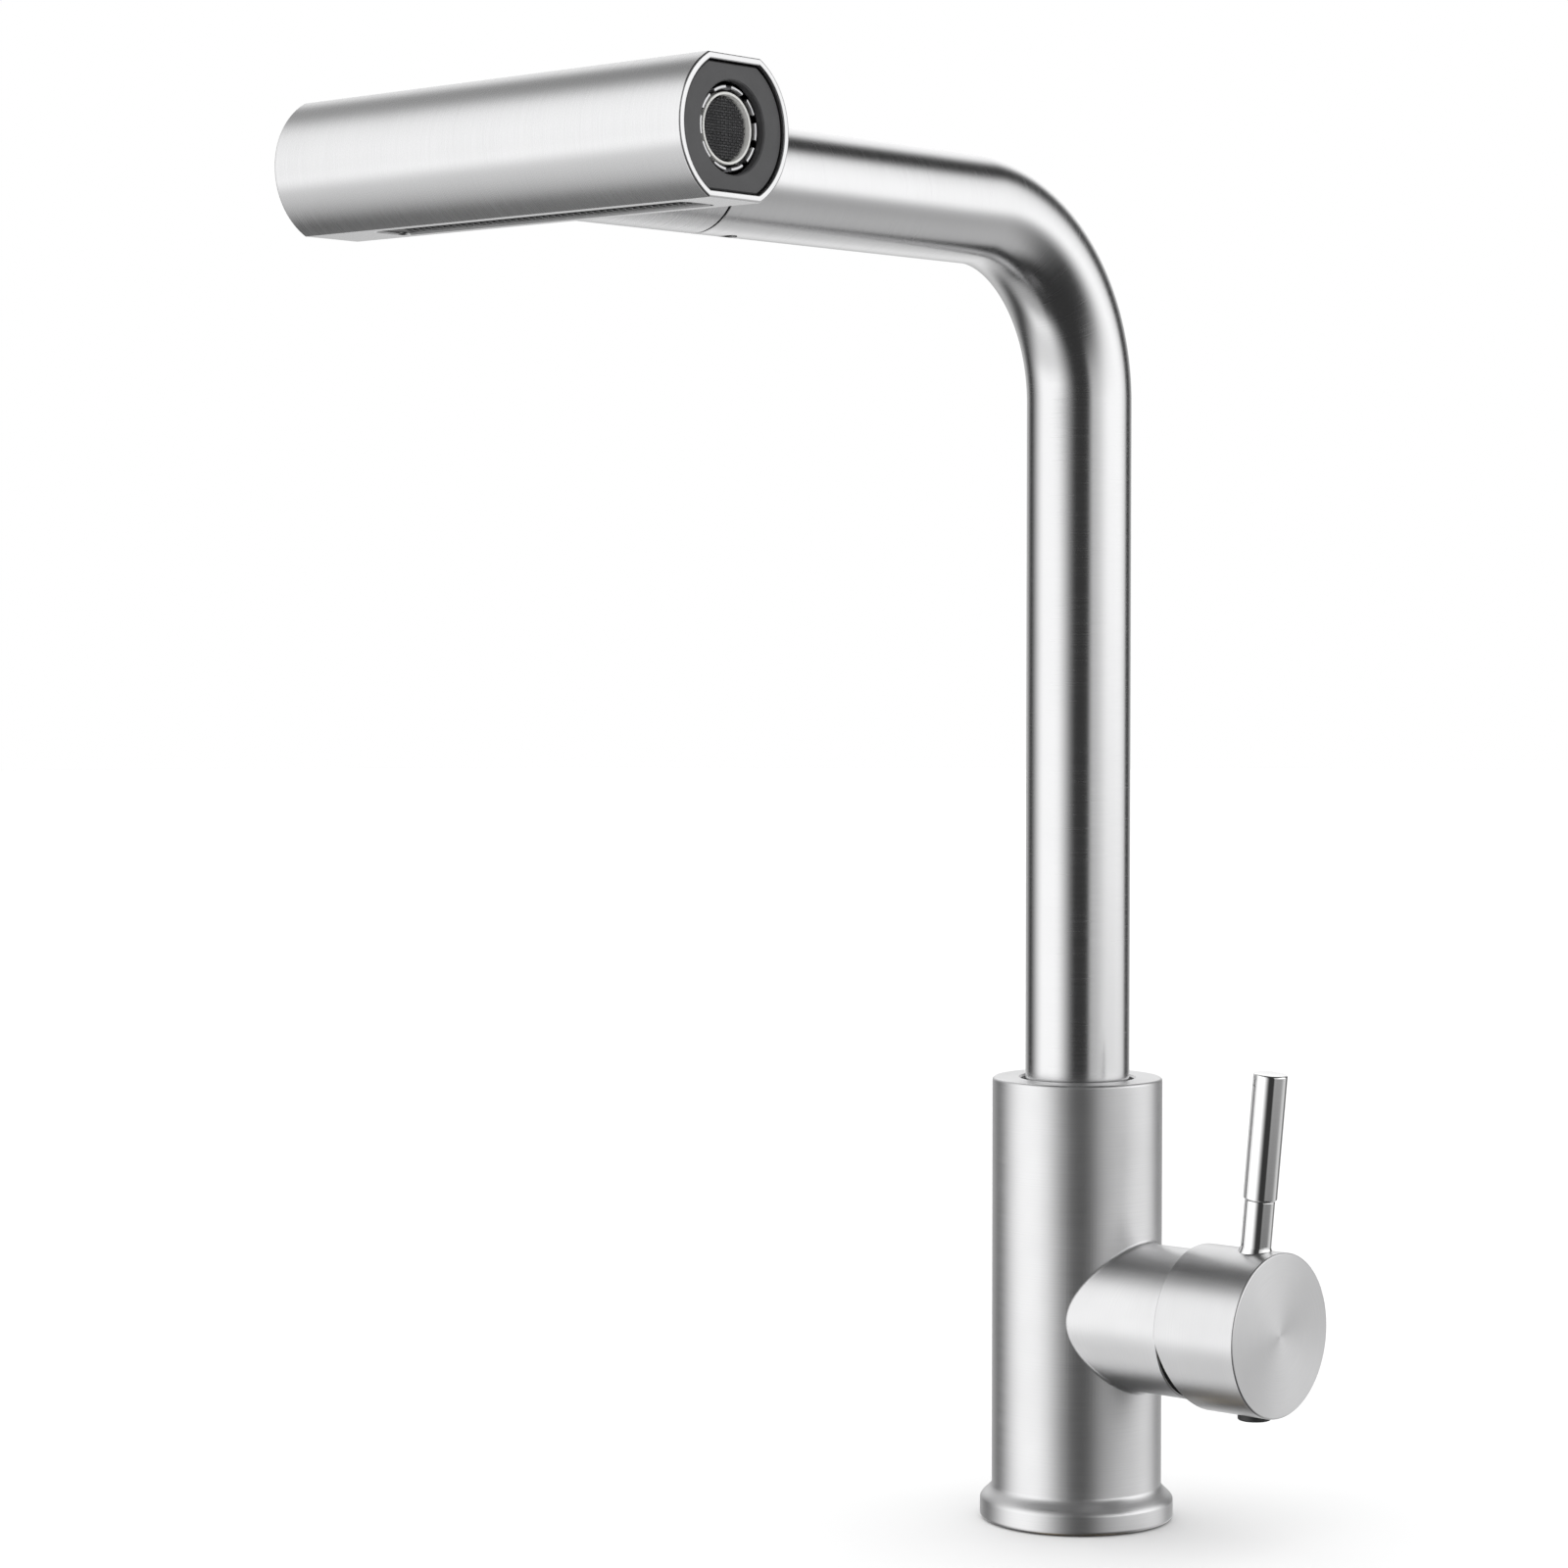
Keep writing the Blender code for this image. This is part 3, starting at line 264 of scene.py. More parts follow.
def skinned(name, rings, closed=False, capped=False):
    """Skin a mesh over rings of points; a ring of one point is a pole."""
    mesh = bpy.data.meshes.new(name)
    shape = bmesh.new()
    grain = shape.loops.layers.uv.new(GRAIN)
    corners = [[shape.verts.new(point) for point in ring] for ring in rings]
    count = max(len(ring) for ring in rings)
    widest = max(rings, key=lambda ring: (Vector(ring[0]) - Vector(ring[len(ring) // 2])).length)
    around = sum((Vector(a) - Vector(b)).length for a, b in zip(widest, widest[1:] + widest[:1]))
    travel = [0.0]
    pairs = list(zip(rings, rings[1:] + (rings[:1] if closed else [])))
    for first, second in pairs:
        travel.append(travel[-1] + (Vector(first[0]) - Vector(second[0])).length)
    ring_pairs = list(zip(corners, corners[1:] + (corners[:1] if closed else [])))
    for row, (first, second) in enumerate(ring_pairs):
        for index in range(count):
            after = (index + 1) % count
            low, high = around * index / count, around * (index + 1) / count
            if len(first) == 1 and len(second) == 1:
                break
            if len(first) == 1:
                spots = [(first[0], travel[row], low), (second[after], travel[row + 1], high),
                         (second[index], travel[row + 1], low)]
            elif len(second) == 1:
                spots = [(first[index], travel[row], low), (first[after], travel[row], high),
                         (second[0], travel[row + 1], low)]
            else:
                spots = [(first[index], travel[row], low), (first[after], travel[row], high),
                         (second[after], travel[row + 1], high),
                         (second[index], travel[row + 1], low)]
            face = shape.faces.new([spot[0] for spot in spots])
            for loop, spot in zip(face.loops, spots):
                loop[grain].uv = spot[1:]
    if capped:
        shape.faces.new(corners[0])
        shape.faces.new(corners[-1])
    bmesh.ops.recalc_face_normals(shape, faces=shape.faces)
    shape.to_mesh(mesh)
    shape.free()
    obj = bpy.data.objects.new(name, mesh)
    bpy.context.scene.collection.objects.link(obj)
    return obj


def turned(name, profile, line, count, section=circle, closed=False):
    """Turn a profile of (radius, height) points about a line."""
    rings = []
    for radius, height in profile:
        centre, side, across = line(height)
        if radius < 1e-7:
            rings.append([centre])
            continue
        rings.append([centre + side * a + across * b for a, b in section(radius, height, count)])
    return skinned(name, rings, closed)


def round_bar(name, radius, low, high, line, count):
    """A plain round bar between two heights on a line, for cuts and blanks."""
    return turned(name, [(0.0, high), (radius, high), (radius, low), (0.0, low)], line, count)


def block(name, low, high, turn=None):
    """A plain block that cuts other pieces."""
    corners = [(low[0], low[1]), (high[0], low[1]), (high[0], high[1]), (low[0], high[1])]
    rings = [[Vector((x, y, z)) for x, y in corners] for z in (low[2], high[2])]
    if turn:
        rings = [[turn @ point for point in ring] for ring in rings]
    return skinned(name, rings, capped=True)


def combined(obj, operation, *tools):
    for tool in tools:
        boolean = obj.modifiers.new(tool.name, "BOOLEAN")
        boolean.operation = operation
        boolean.object = tool
        boolean.solver = "EXACT"
    graph = bpy.context.evaluated_depsgraph_get()
    mesh = bpy.data.meshes.new_from_object(obj.evaluated_get(graph))
    obj.modifiers.clear()
    obj.data = mesh
    for tool in tools:
        bpy.data.objects.remove(tool)
    if not mesh.polygons:
        raise RuntimeError(f"{obj.name}: nothing is left after the cut")
    return obj


def carved(obj, *tools):
    return combined(obj, "DIFFERENCE", *tools)


def welded(obj, *tools):
    return combined(obj, "UNION", *tools)


def gathered(name, pieces):
    """One mesh object made of separate solids."""
    mesh = bpy.data.meshes.new(name)
    shape = bmesh.new()
    for piece in pieces:
        shape.from_mesh(piece.data)
        bpy.data.objects.remove(piece)
    shape.to_mesh(mesh)
    shape.free()
    obj = bpy.data.objects.new(name, mesh)
    bpy.context.scene.collection.objects.link(obj)
    return obj


def finished(obj, finish, crease=32.0):
    """Smooth shading with clean edges, and the finish."""
    obj.data.shade_smooth()
    obj.data.set_sharp_from_angle(angle=math.radians(crease))
    shading = obj.modifiers.new("even shading", "WEIGHTED_NORMAL")
    shading.keep_sharp = True
    obj.data.materials.clear()
    obj.data.materials.append(finish)
    return obj


# ---------------------------------------------------------------- finishes
def node(tree, kind, inputs=(), **settings):
    """Add a shader node. inputs holds (socket, value), and a value may be another node's output."""
    made = tree.nodes.new("ShaderNode" + kind)
    for key, value in settings.items():
        setattr(made, key, value)
    for socket, value in inputs:
        if isinstance(value, bpy.types.NodeSocket):
            tree.links.new(value, made.inputs[socket])
        else:
            made.inputs[socket].default_value = value
    return made


def new_finish(name, colour, metallic, roughness):
    material = bpy.data.materials.new(name)
    material.use_nodes = True
    tree = material.node_tree
    shader = tree.nodes["Principled BSDF"]
    shader.inputs["Base Color"].default_value = (*colour, 1.0)
    shader.inputs["Metallic"].default_value = metallic
    shader.inputs["Roughness"].default_value = roughness
    return material, tree, shader


def spread(tree, value, low, high):
    """Map a 0 to 1 value on to low to high."""
    return node(tree, "MapRange", [("Value", value), ("To Min", low), ("To Max", high)]).outputs[0]


def tinted(tree, shader, colour, value, low, high):
    """Let the base colour vary between low and high times the colour."""
    dark = tuple(low * part for part in colour) + (1.0,)
    light = tuple(min(1.0, high * part) for part in colour) + (1.0,)
    mixed = node(tree, "Mix", [(0, value), (6, dark), (7, light)], data_type="RGBA")
    tree.links.new(mixed.outputs[2], shader.inputs["Base Color"])


def bumped(tree, shader, value, strength, depth):
    bump = node(tree, "Bump", [("Height", value), ("Strength", strength), ("Distance", depth)])
    tree.links.new(bump.outputs[0], shader.inputs["Normal"])


def grain_lines(tree, across, along, detail=3.0):
    """Fine lines that run round a piece: across is their spacing, along their length."""
    place = node(tree, "UVMap", uv_map=GRAIN).outputs[0]
    scale = (1.0 / across, 1.0 / along, 1.0)
    place = node(tree, "Mapping", [("Vector", place), ("Scale", scale)]).outputs[0]
    return node(tree, "TexNoise", [("Vector", place), ("Scale", 1.0),
                                   ("Detail", detail)]).outputs[0]


def patches(tree, size, detail=2.0):
    place = node(tree, "TexCoord").outputs["Object"]
    return node(tree, "TexNoise", [("Vector", place), ("Scale", 1.0 / size),
                                   ("Detail", detail)]).outputs[0]


def brushed_steel(name, colour, roughness, across, along, contrast, stretch):
    """Steel brushed round the piece, so its reflections spread along it."""
    material, tree, shader = new_finish(name, colour, 1.0, roughness)
    lines = grain_lines(tree, across, along)
    cloud = patches(tree, 14 * MM)
    blend = node(tree, "Math", [(0, lines), (1, cloud), (2, 0.25)], operation="MULTIPLY_ADD")
    tinted(tree, shader, colour, blend.outputs[0], 1.0 - contrast, 1.0 + contrast)
    rough = spread(tree, lines, roughness - 0.09, roughness + 0.09)
    tree.links.new(rough, shader.inputs["Roughness"])
    bumped(tree, shader, lines, 0.12, 0.02 * MM)
    tangent = node(tree, "Tangent", direction_type="UV_MAP", uv_map=GRAIN)
    tree.links.new(tangent.outputs[0], shader.inputs["Tangent"])
    shader.inputs["Anisotropic"].default_value = stretch
    return material


def polished_steel(name, colour):
    material, tree, shader = new_finish(name, colour, 1.0, 0.08)
    smears = patches(tree, 9 * MM, 4.0)
    lines = grain_lines(tree, 0.2 * MM, 8 * MM)
    tinted(tree, shader, colour, lines, 0.94, 1.04)
    tree.links.new(spread(tree, smears, 0.05, 0.13), shader.inputs["Roughness"])
    bumped(tree, shader, lines, 0.03, 0.01 * MM)
    return material


def turned_metal(name, colour, roughness):
    """Bare metal with the marks of the lathe, for fittings inside the tap."""
    material, tree, shader = new_finish(name, colour, 1.0, roughness)
    stain = patches(tree, 6 * MM, 5.0)
    marks = patches(tree, 0.6 * MM, 1.0)
    tinted(tree, shader, colour, stain, 0.72, 1.15)
    tree.links.new(spread(tree, stain, roughness - 0.08, roughness + 0.12),
                   shader.inputs["Roughness"])
    bumped(tree, shader, marks, 0.10, 0.03 * MM)
    return material


def moulded_plastic(name, colour, roughness, speckle=0.35):
    material, tree, shader = new_finish(name, colour, 0.0, roughness)
    texture = patches(tree, speckle * MM, 2.0)
    cloud = patches(tree, 7 * MM, 3.0)
    tinted(tree, shader, colour, cloud, 0.80, 1.25)
    tree.links.new(spread(tree, texture, roughness - 0.08, roughness + 0.10),
                   shader.inputs["Roughness"])
    bumped(tree, shader, texture, 0.20, 0.03 * MM)
    return material


def hose_braid(name, colour):
    """Two sets of wires that cross round a hose lying along the arm."""
    material, tree, shader = new_finish(name, colour, 0.9, 0.34)
    wires, pitch = 24.0, 1.6 * MM
    place = node(tree, "TexCoord").outputs["Object"]
    parts = node(tree, "SeparateXYZ", [(0, place)])
    rise = node(tree, "Math", [(0, parts.outputs[2]), (1, ARM_HEIGHT)], operation="SUBTRACT")
    turn = node(tree, "Math", [(0, parts.outputs[0]), (1, rise.outputs[0])], operation="ARCTAN2")
    turn = node(tree, "Math", [(0, turn.outputs[0]), (1, wires / 2)], operation="MULTIPLY")
    run = node(tree, "Math", [(0, parts.outputs[1]), (1, math.pi / pitch)], operation="MULTIPLY")
    waves = []
    for operation in ("ADD", "SUBTRACT"):
        phase = node(tree, "Math", [(0, turn.outputs[0]), (1, run.outputs[0])],
                     operation=operation)
        waves.append(node(tree, "Math", [(0, phase.outputs[0])], operation="SINE").outputs[0])
    crossed = node(tree, "Math", [(0, waves[0]), (1, waves[1])], operation="MAXIMUM").outputs[0]
    weave = node(tree, "MapRange", [("Value", crossed), ("From Min", -0.4)]).outputs[0]
    tinted(tree, shader, colour, weave, 0.18, 1.5)
    tree.links.new(spread(tree, weave, 0.55, 0.28), shader.inputs["Roughness"])
    bumped(tree, shader, weave, 0.9, 0.25 * MM)
    return material


FINISHES = {}


def make_finishes(finishes):
    """One material for each of the record's slots."""
    steel = finishes.steel
    FINISHES.update(
        body_steel=brushed_steel("brushed_body", finishes.body_colour, finishes.body_roughness,
                                 0.30 * MM, 22 * MM, 0.13, 0.40),
        cap_steel=brushed_steel("brushed_cap", steel, finishes.body_roughness - 0.07,
                                0.30 * MM, 18 * MM, 0.12, 0.45),
        spout_steel=brushed_steel("satin_tube", steel, finishes.tube_roughness,
                                  0.28 * MM, 20 * MM, 0.04, 0.5),
        head_steel=brushed_steel("satin_head", steel, finishes.head_roughness,
                                 0.28 * MM, 20 * MM, 0.04, 0.5),
        lever_chrome=polished_steel("polished_lever", finishes.chrome),
        brass=turned_metal("turned_brass", finishes.brass, 0.32),
        steel_fittings=turned_metal("plated_steel", (0.58, 0.58, 0.59), 0.28),
        black_plastic=moulded_plastic("black_plastic", finishes.black_plastic, 0.42),
        grey_plastic=moulded_plastic("grey_plastic", finishes.grey_plastic, 0.50),
        white_plastic=moulded_plastic("white_plastic", finishes.white_plastic, 0.40),
        rubber=moulded_plastic("rubber", finishes.rubber, 0.72, 0.20),
        ceramic=moulded_plastic("ceramic", finishes.ceramic, 0.18, 0.15),
        hose_braid=hose_braid("hose_braid", finishes.braid),
    )


def placed(obj, body, slot, *nodes):
    """Give a piece its body, its finish and the frame's pieces that it stands for."""
    finished(obj, FINISHES[slot])
    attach(obj, body)
    if nodes:
        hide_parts(*nodes)
    return obj


# ---------------------------------------------------------------- body
def flared_foot(sizes, steps=14):
    """The S-shaped swell from the body out to the foot."""
    foot = BODY_HIGH.y
    points = []
    for index in range(1, steps):
        part = index / steps
        swell = (1 - math.cos(math.pi * part)) / 2
        points.append((sizes.body_radius + (foot - sizes.body_radius) * swell,
                       sizes.flare_height + (sizes.rim_height - sizes.flare_height) * part))
    return points


def boss_blank(sizes, count):
    """The side boss, whose inner end swells into a small weld that follows the round body."""
    body, boss, fillet = sizes.body_radius, sizes.boss_radius, sizes.boss_fillet
    steps = 6
    edge = 0.3 * MM
    rim = rounded([(0.0, sizes.boss_end), (boss, sizes.boss_end, edge), (boss, 0.0)])[:-1]
    rings = [[BOSS + X_AXIS * sizes.boss_end]]
    for radius, height in rim[1:]:
        rings.append([BOSS + Vector((height, y, z)) for y, z in circle(radius, height, count)])
    weld = [[] for _ in range(steps + 1)]
    sunk = []
    for y, z in circle(1.0, 0.0, count):
        wide = boss + fillet
        centre = Vector((math.sqrt((body + fillet) ** 2 - (wide * y) ** 2), wide * y, wide * z))
        to_boss = Vector((0.0, -y, -z))
        to_body = -Vector((centre.x, centre.y, 0.0)).normalized()
        for step in range(steps + 1):
            arm = to_boss.slerp(to_body, step / steps)
            weld[step].append(BOSS + centre + arm * fillet)
        sunk.append(BOSS + centre + to_body * (fillet + 1.5 * MM))
    rings += weld + [sunk]
    inner, waist = 8 * MM, boss - 4 * MM    # the hidden end, inside the body
    rings.append([BOSS + Vector((inner, y, z)) for y, z in circle(waist, 0.0, count)])
    rings.append([BOSS + X_AXIS * inner])
    return skinned("boss_blank", rings)


class TAP_OT_body(bpy.types.Operator):
    """Build the round body with its flared foot and side boss"""
    bl_idname = "tap.body"
    bl_label = "Body"

    def execute(self, context):
        sizes = context.scene.tap_sizes
        top, base = BODY_HIGH.z, BODY_LOW.z
        edge = sizes.body_edge
        profile = rounded([(0.0, top), (sizes.body_radius, top, edge),
                           (sizes.body_radius, sizes.flare_height)])
        profile += flared_foot(sizes)
        profile += rounded([(BODY_HIGH.y, sizes.rim_height), (BODY_HIGH.y, base, edge),
                            (0.0, base)])
        count = sizes.facets
        body = turned("body", profile, upright(), count)
        welded(body, boss_blank(sizes, count))
        mouth, lip, over = sizes.mouth_radius, 0.5 * MM, MM
        roof = top - sizes.body_roof
        recess, recess_top = 24.9 * MM, 1.6 * MM
        bore = [(0.0, top + over), (mouth + lip, top + over), (mouth + lip, top),
                (mouth, top - lip), (mouth, roof), (sizes.body_bore, roof),
                (sizes.body_bore, recess_top), (recess, recess_top), (recess, -over), (0.0, -over)]
        bore = turned("body_bore", bore, upright(), count)
        seal_low, seal_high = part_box("dust_seal")
        seat, socket_foot = seal_low.x - 0.2 * MM, 4 * MM
        socket = [(0.0, socket_foot), (sizes.boss_bore, socket_foot), (sizes.boss_bore, seat),
                  (sizes.seal_seat, seat), (sizes.seal_seat, sizes.boss_end + over),
                  (0.0, sizes.boss_end + over)]
        socket = turned("boss_bore", socket, sideways(BOSS), count)
        screw_low, screw_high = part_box("spout_grub_screw")
        screw_height = (screw_low.z + screw_high.z) / 2
        hole_place = Vector((0.0, 0.0, screw_height))
        hole_radius = 2.8 * MM
        inside, outside = 10 * MM, 30 * MM
        back_line = straight(hole_place, Y_AXIS, X_AXIS)
        hole = round_bar("screw_hole", hole_radius, inside, outside, back_line, 32)
        carved(body, bore, socket, hole)
        placed(body, "root", "body_steel", "body_shell")
        seal = turned_ring("dust_seal_fine", sizes.boss_bore + 0.1 * MM,
                           seal_high.z - VALVE_HEIGHT, seal_low.x, seal_high.x, 0.25 * MM,
                           sideways(BOSS), 128)
        placed(seal, "root", "rubber", "dust_seal")
        screw = socket_screw("spout_grub_screw_fine", screw_high.x, back_line, screw_low.y,
                             screw_high.y)
        placed(screw, "root", "steel_fittings", "spout_grub_screw")
        return {"FINISHED"}


def socket_screw(name, radius, line, foot, top):
    """A headless screw with a six-sided socket."""
    edge = 0.3 * MM
    screw = turned(name, rounded([(0.0, top), (radius, top, edge), (radius, foot, edge),
                                  (0.0, foot)], 3), line, 32)
    key = radius * 0.62             # half the width across the socket's corners
    depth = 1.2 * MM
    return carved(screw, round_bar(name + "_socket", key, top - depth, top + depth, line, 6))


# ---------------------------------------------------------------- spout and neck
class TAP_OT_spout(bpy.types.Operator):
    """Build the riser, bend and arm as one bent tube, with the plug under its end"""
    bl_idname = "tap.spout"
    bl_label = "Spout"

    def execute(self, context):
        sizes = context.scene.tap_sizes
        line = spout_line(sizes.bend_radius)
        end = spout_travel(ARM_END, sizes.bend_radius)
        bend_start = ARM_HEIGHT - sizes.bend_radius
        bend_end = bend_start + sizes.bend_radius * math.pi / 2
        steps = 56
        stations = [bend_start + (bend_end - bend_start) * index / steps
                    for index in range(steps + 1)]
        edge = 0.12 * MM
        outer, inner = TUBE_RADIUS, TUBE_RADIUS - sizes.tube_wall
        foot_edge = rounded([(inner, SPOUT_FOOT), (outer, SPOUT_FOOT, edge),
                             (outer, bend_start)], 4)
        end_edge = rounded([(outer, bend_end), (outer, end, edge), (inner, end, edge),
                            (inner, bend_end)], 4)
        profile = foot_edge[:-1] + [(outer, station) for station in stations]
        profile += end_edge[1:-1] + [(inner, station) for station in reversed(stations)]
        spout = turned("spout", profile, line, sizes.facets, closed=True)
        screw_low, screw_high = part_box("dock_screw")
        place = Vector((0.0, (screw_low.y + screw_high.y) / 2, ARM_HEIGHT))
        hole_radius = 2.5 * MM
        inside, outside = 10 * MM, 16 * MM
        carved(spout, round_bar("dock_screw_hole", hole_radius, inside, outside,
                                downward(place), 40))
        placed(spout, "spout", "spout_steel", "spout_tube")
        screw = socket_screw("dock_screw_fine", screw_high.x, downward(place),
                             ARM_HEIGHT - screw_high.z, ARM_HEIGHT - screw_low.z)
        placed(screw, "spout", "black_plastic", "dock_screw")
        return {"FINISHED"}


class TAP_OT_neck(bpy.types.Operator):
    """Build the short neck that carries the head and parts from the arm"""
    bl_idname = "tap.neck"
    bl_label = "Neck"

    def execute(self, context):
        sizes = context.scene.tap_sizes
        edge = 0.12 * MM
        outer, inner = TUBE_RADIUS, TUBE_RADIUS - sizes.tube_wall
        far_end = REACH - sizes.neck_depth
        profile = rounded([(outer, NECK_START, edge), (outer, far_end), (inner, far_end),
                           (inner, NECK_START, edge)], 4, closed=True)
        neck = turned("neck", profile, forward(ARM), sizes.facets, closed=True)
        overlap, beyond = 0.05 * MM, 30 * MM
        carved(neck, round_bar("saddle", sizes.head_radius - overlap, -beyond, beyond,
                               sideways(HEAD), 256))
        placed(neck, "wand", "head_steel", "neck_tube")
        return {"FINISHED"}


# ---------------------------------------------------------------- head
def flat_sided(sizes, fillet=0.5 * MM):
    """Section of the head: a circle whose top and bottom are cut flat, with eased corners."""
    half_height = (HEAD_HIGH.z - HEAD_LOW.z) / 2

    def section(radius, height, count):
        flat = half_height - (sizes.head_radius - radius)
        ease = fillet * radius / sizes.head_radius
        corner = math.asin((flat - ease) / (radius - ease))
        hub = ((radius - ease) * math.cos(corner), flat - ease)
        arc_steps, ease_steps, flat_steps = 36, 5, 8
        quarter = []
        for index in range(arc_steps):
            angle = -corner + 2 * corner * index / arc_steps
            quarter.append((radius * math.cos(angle), radius * math.sin(angle)))
        for index in range(ease_steps):
            angle = corner + (math.pi / 2 - corner) * index / ease_steps
            quarter.append((hub[0] + ease * math.cos(angle), hub[1] + ease * math.sin(angle)))
        for index in range(flat_steps + 1):
            quarter.append((hub[0] - 2 * hub[0] * index / flat_steps, flat))
        for index in range(1, ease_steps):
            angle = math.pi / 2 + (math.pi / 2 - corner) * index / ease_steps
            quarter.append((-hub[0] + ease * math.cos(angle), hub[1] + ease * math.sin(angle)))
        return quarter + [(-y, -z) for y, z in quarter]

    return section


def slotted(name, low, high, corner, levels):
    """A cutter of rounded oblong plan: levels holds (height, swell) from bottom to top."""
    rings = []
    for height, swell in levels:
        radius = corner + swell
        ring = []
        for x, y, start in ((high.x, high.y, 0.0), (low.x, high.y, 0.5), (low.x, low.y, 1.0),
                            (high.x, low.y, 1.5)):
            hub_x = x - math.copysign(corner, x - (low.x + high.x) / 2)
            hub_y = y - math.copysign(corner, y - (low.y + high.y) / 2)
            for step in range(7):
                angle = math.pi * (start + step / 12)
                ring.append(Vector((hub_x + radius * math.cos(angle),
                                    hub_y + radius * math.sin(angle), height)))
        rings.append(ring)
    return skinned(name, rings, capped=True)


class TAP_OT_head(bpy.types.Operator):
    """Build the flat-sided bar of the head with the window of its curtain outlet"""
    bl_idname = "tap.head"
    bl_label = "Head"

    def execute(self, context):
        sizes = context.scene.tap_sizes
        outer, inner = sizes.head_radius, sizes.head_radius - sizes.head_wall
        left, right = HEAD_LOW.x, HEAD_HIGH.x
        edge, inner_edge = 0.55 * MM, 0.35 * MM
        profile = rounded([(outer, left, edge), (outer, right, edge), (inner, right, inner_edge),
                           (inner, left, inner_edge)], 5, closed=True)
        shell = turned("head", profile, sideways(HEAD), 0, flat_sided(sizes), closed=True)
        margin = Vector((0.3 * MM, 0.3 * MM, 0.0))
        bottom, lip, beyond = HEAD_LOW.z, 0.35 * MM, 5 * MM
        depth = 6 * MM
        window = slotted("outlet_window", OUTLET_LOW - margin, OUTLET_HIGH + margin, 2.0 * MM,
                         [(bottom - beyond, lip), (bottom, lip), (bottom + lip, 0.0),
                          (bottom + depth, 0.0)])
        inlet_radius, inside, outside = 9 * MM, 8 * MM, 30 * MM
        inlet = round_bar("inlet", inlet_radius, inside, outside,
                          straight(HEAD, Y_AXIS, X_AXIS), 48)
        carved(shell, window, inlet)
        placed(shell, "wand", "head_steel", "head_shell")
        return {"FINISHED"}


class TAP_OT_outlet(bpy.types.Operator):
    """Build the curtain outlet: a plate with a slit between two rows of guide ribs"""
    bl_idname = "tap.outlet"
    bl_label = "Curtain outlet"

    def execute(self, context):
        low, high = OUTLET_LOW, OUTLET_HIGH
        ease = 0.25 * MM
        plate = slotted("curtain_outlet", low, high, 1.8 * MM,
                        [(low.z, -ease), (low.z + ease, 0.0), (high.z, 0.0)])
        margin = 5 * MM
        slit_half = 0.9 * MM
        middle = (low.y + high.y) / 2
        slit = block("slit", (low.x + margin, middle - slit_half, low.z - MM),
                     (high.x - margin, middle + slit_half, high.z + MM))
        carved(plate, slit)
        ribs = 44
        pitch = (high.x - low.x - 2 * margin) / ribs
        row_offset, rib_half, rib_corner = 2.1 * MM, Vector((0.35 * MM, 0.8 * MM, 0.0)), 0.3 * MM
        rib_levels = [(low.z - 0.20 * MM, -0.12 * MM), (low.z - 0.1 * MM, 0.0),
                      (low.z + 0.2 * MM, 0.0)]
        solids = [plate]
        for index in range(ribs + 1):
            x = low.x + margin + pitch * index
            for side in (-1.0, 1.0):
                centre = Vector((x, middle + side * row_offset, 0.0))
                solids.append(slotted("rib", centre - rib_half, centre + rib_half, rib_corner,
                                      rib_levels))
        outlet = gathered("curtain_outlet", solids)
        placed(outlet, "wand", "black_plastic", "curtain_plate")
        return {"FINISHED"}


def end_plate(name, sizes, low, high, outward, hole_radius):
    """A plate that closes the head's end round a hole; outward is the side that shows."""
    gap = 0.3 * MM
    radius = sizes.head_radius - sizes.head_wall - gap
    ease = 0.3 * MM
    front, back = (high, low) if outward > 0 else (low, high)
    bevel = front - outward * ease
    rings_profile = [(radius - ease, front), (radius, bevel), (radius, back)]
    section = flat_sided(sizes, 0.4 * MM)
    rings = []
    line = sideways(HEAD)
    for size, height in rings_profile:
        centre, side, across = line(height)
        rings.append([centre + side * a + across * b for a, b in section(size, height, 0)])
    plate = skinned(name, rings, capped=True)
    hole = [(0.0, front + outward * MM), (hole_radius + ease, front + outward * MM),
            (hole_radius + ease, front), (hole_radius, bevel), (hole_radius, back - outward * MM),
            (0.0, back - outward * MM)]
    return carved(plate, turned(name + "_hole", hole, line, 96))


def woven_disc(name, radius, low, high, pitch):
    """A disc of wires woven over and under each other, on a thin backing."""
    wire = (high - low) * 0.22
    middle = high - 2 * wire
    count = int(2 * radius / pitch)
    solids = []
    for direction in (0, 1):
        for index in range(count):
            offset = (index - (count - 1) / 2) * pitch
            reach = math.sqrt(max(radius ** 2 - offset ** 2, 0.0))
            steps = max(4, int(2 * reach / (pitch / 2)))
            rings = []
            for step in range(steps + 1):
                along = -reach + 2 * reach * step / steps
                phase = math.pi * (along / pitch + (count - 1) / 2 + index + direction)
                lift = middle + wire * math.cos(phase)
                ring = []
                for a, b in circle(wire, 0.0, 5):
                    y, z = (offset + a, along) if direction else (along, offset + a)
                    ring.append(HEAD + Vector((lift + b, y, z)))
                rings.append(ring)
            solids.append(skinned("wire", rings, capped=True))
    backing = rounded([(0.0, middle - wire), (radius, middle - wire, 0.1 * MM), (radius, low),
                       (0.0, low)], 3)
    solids.append(turned("backing", backing, sideways(HEAD), 64))
    return gathered(name, solids)


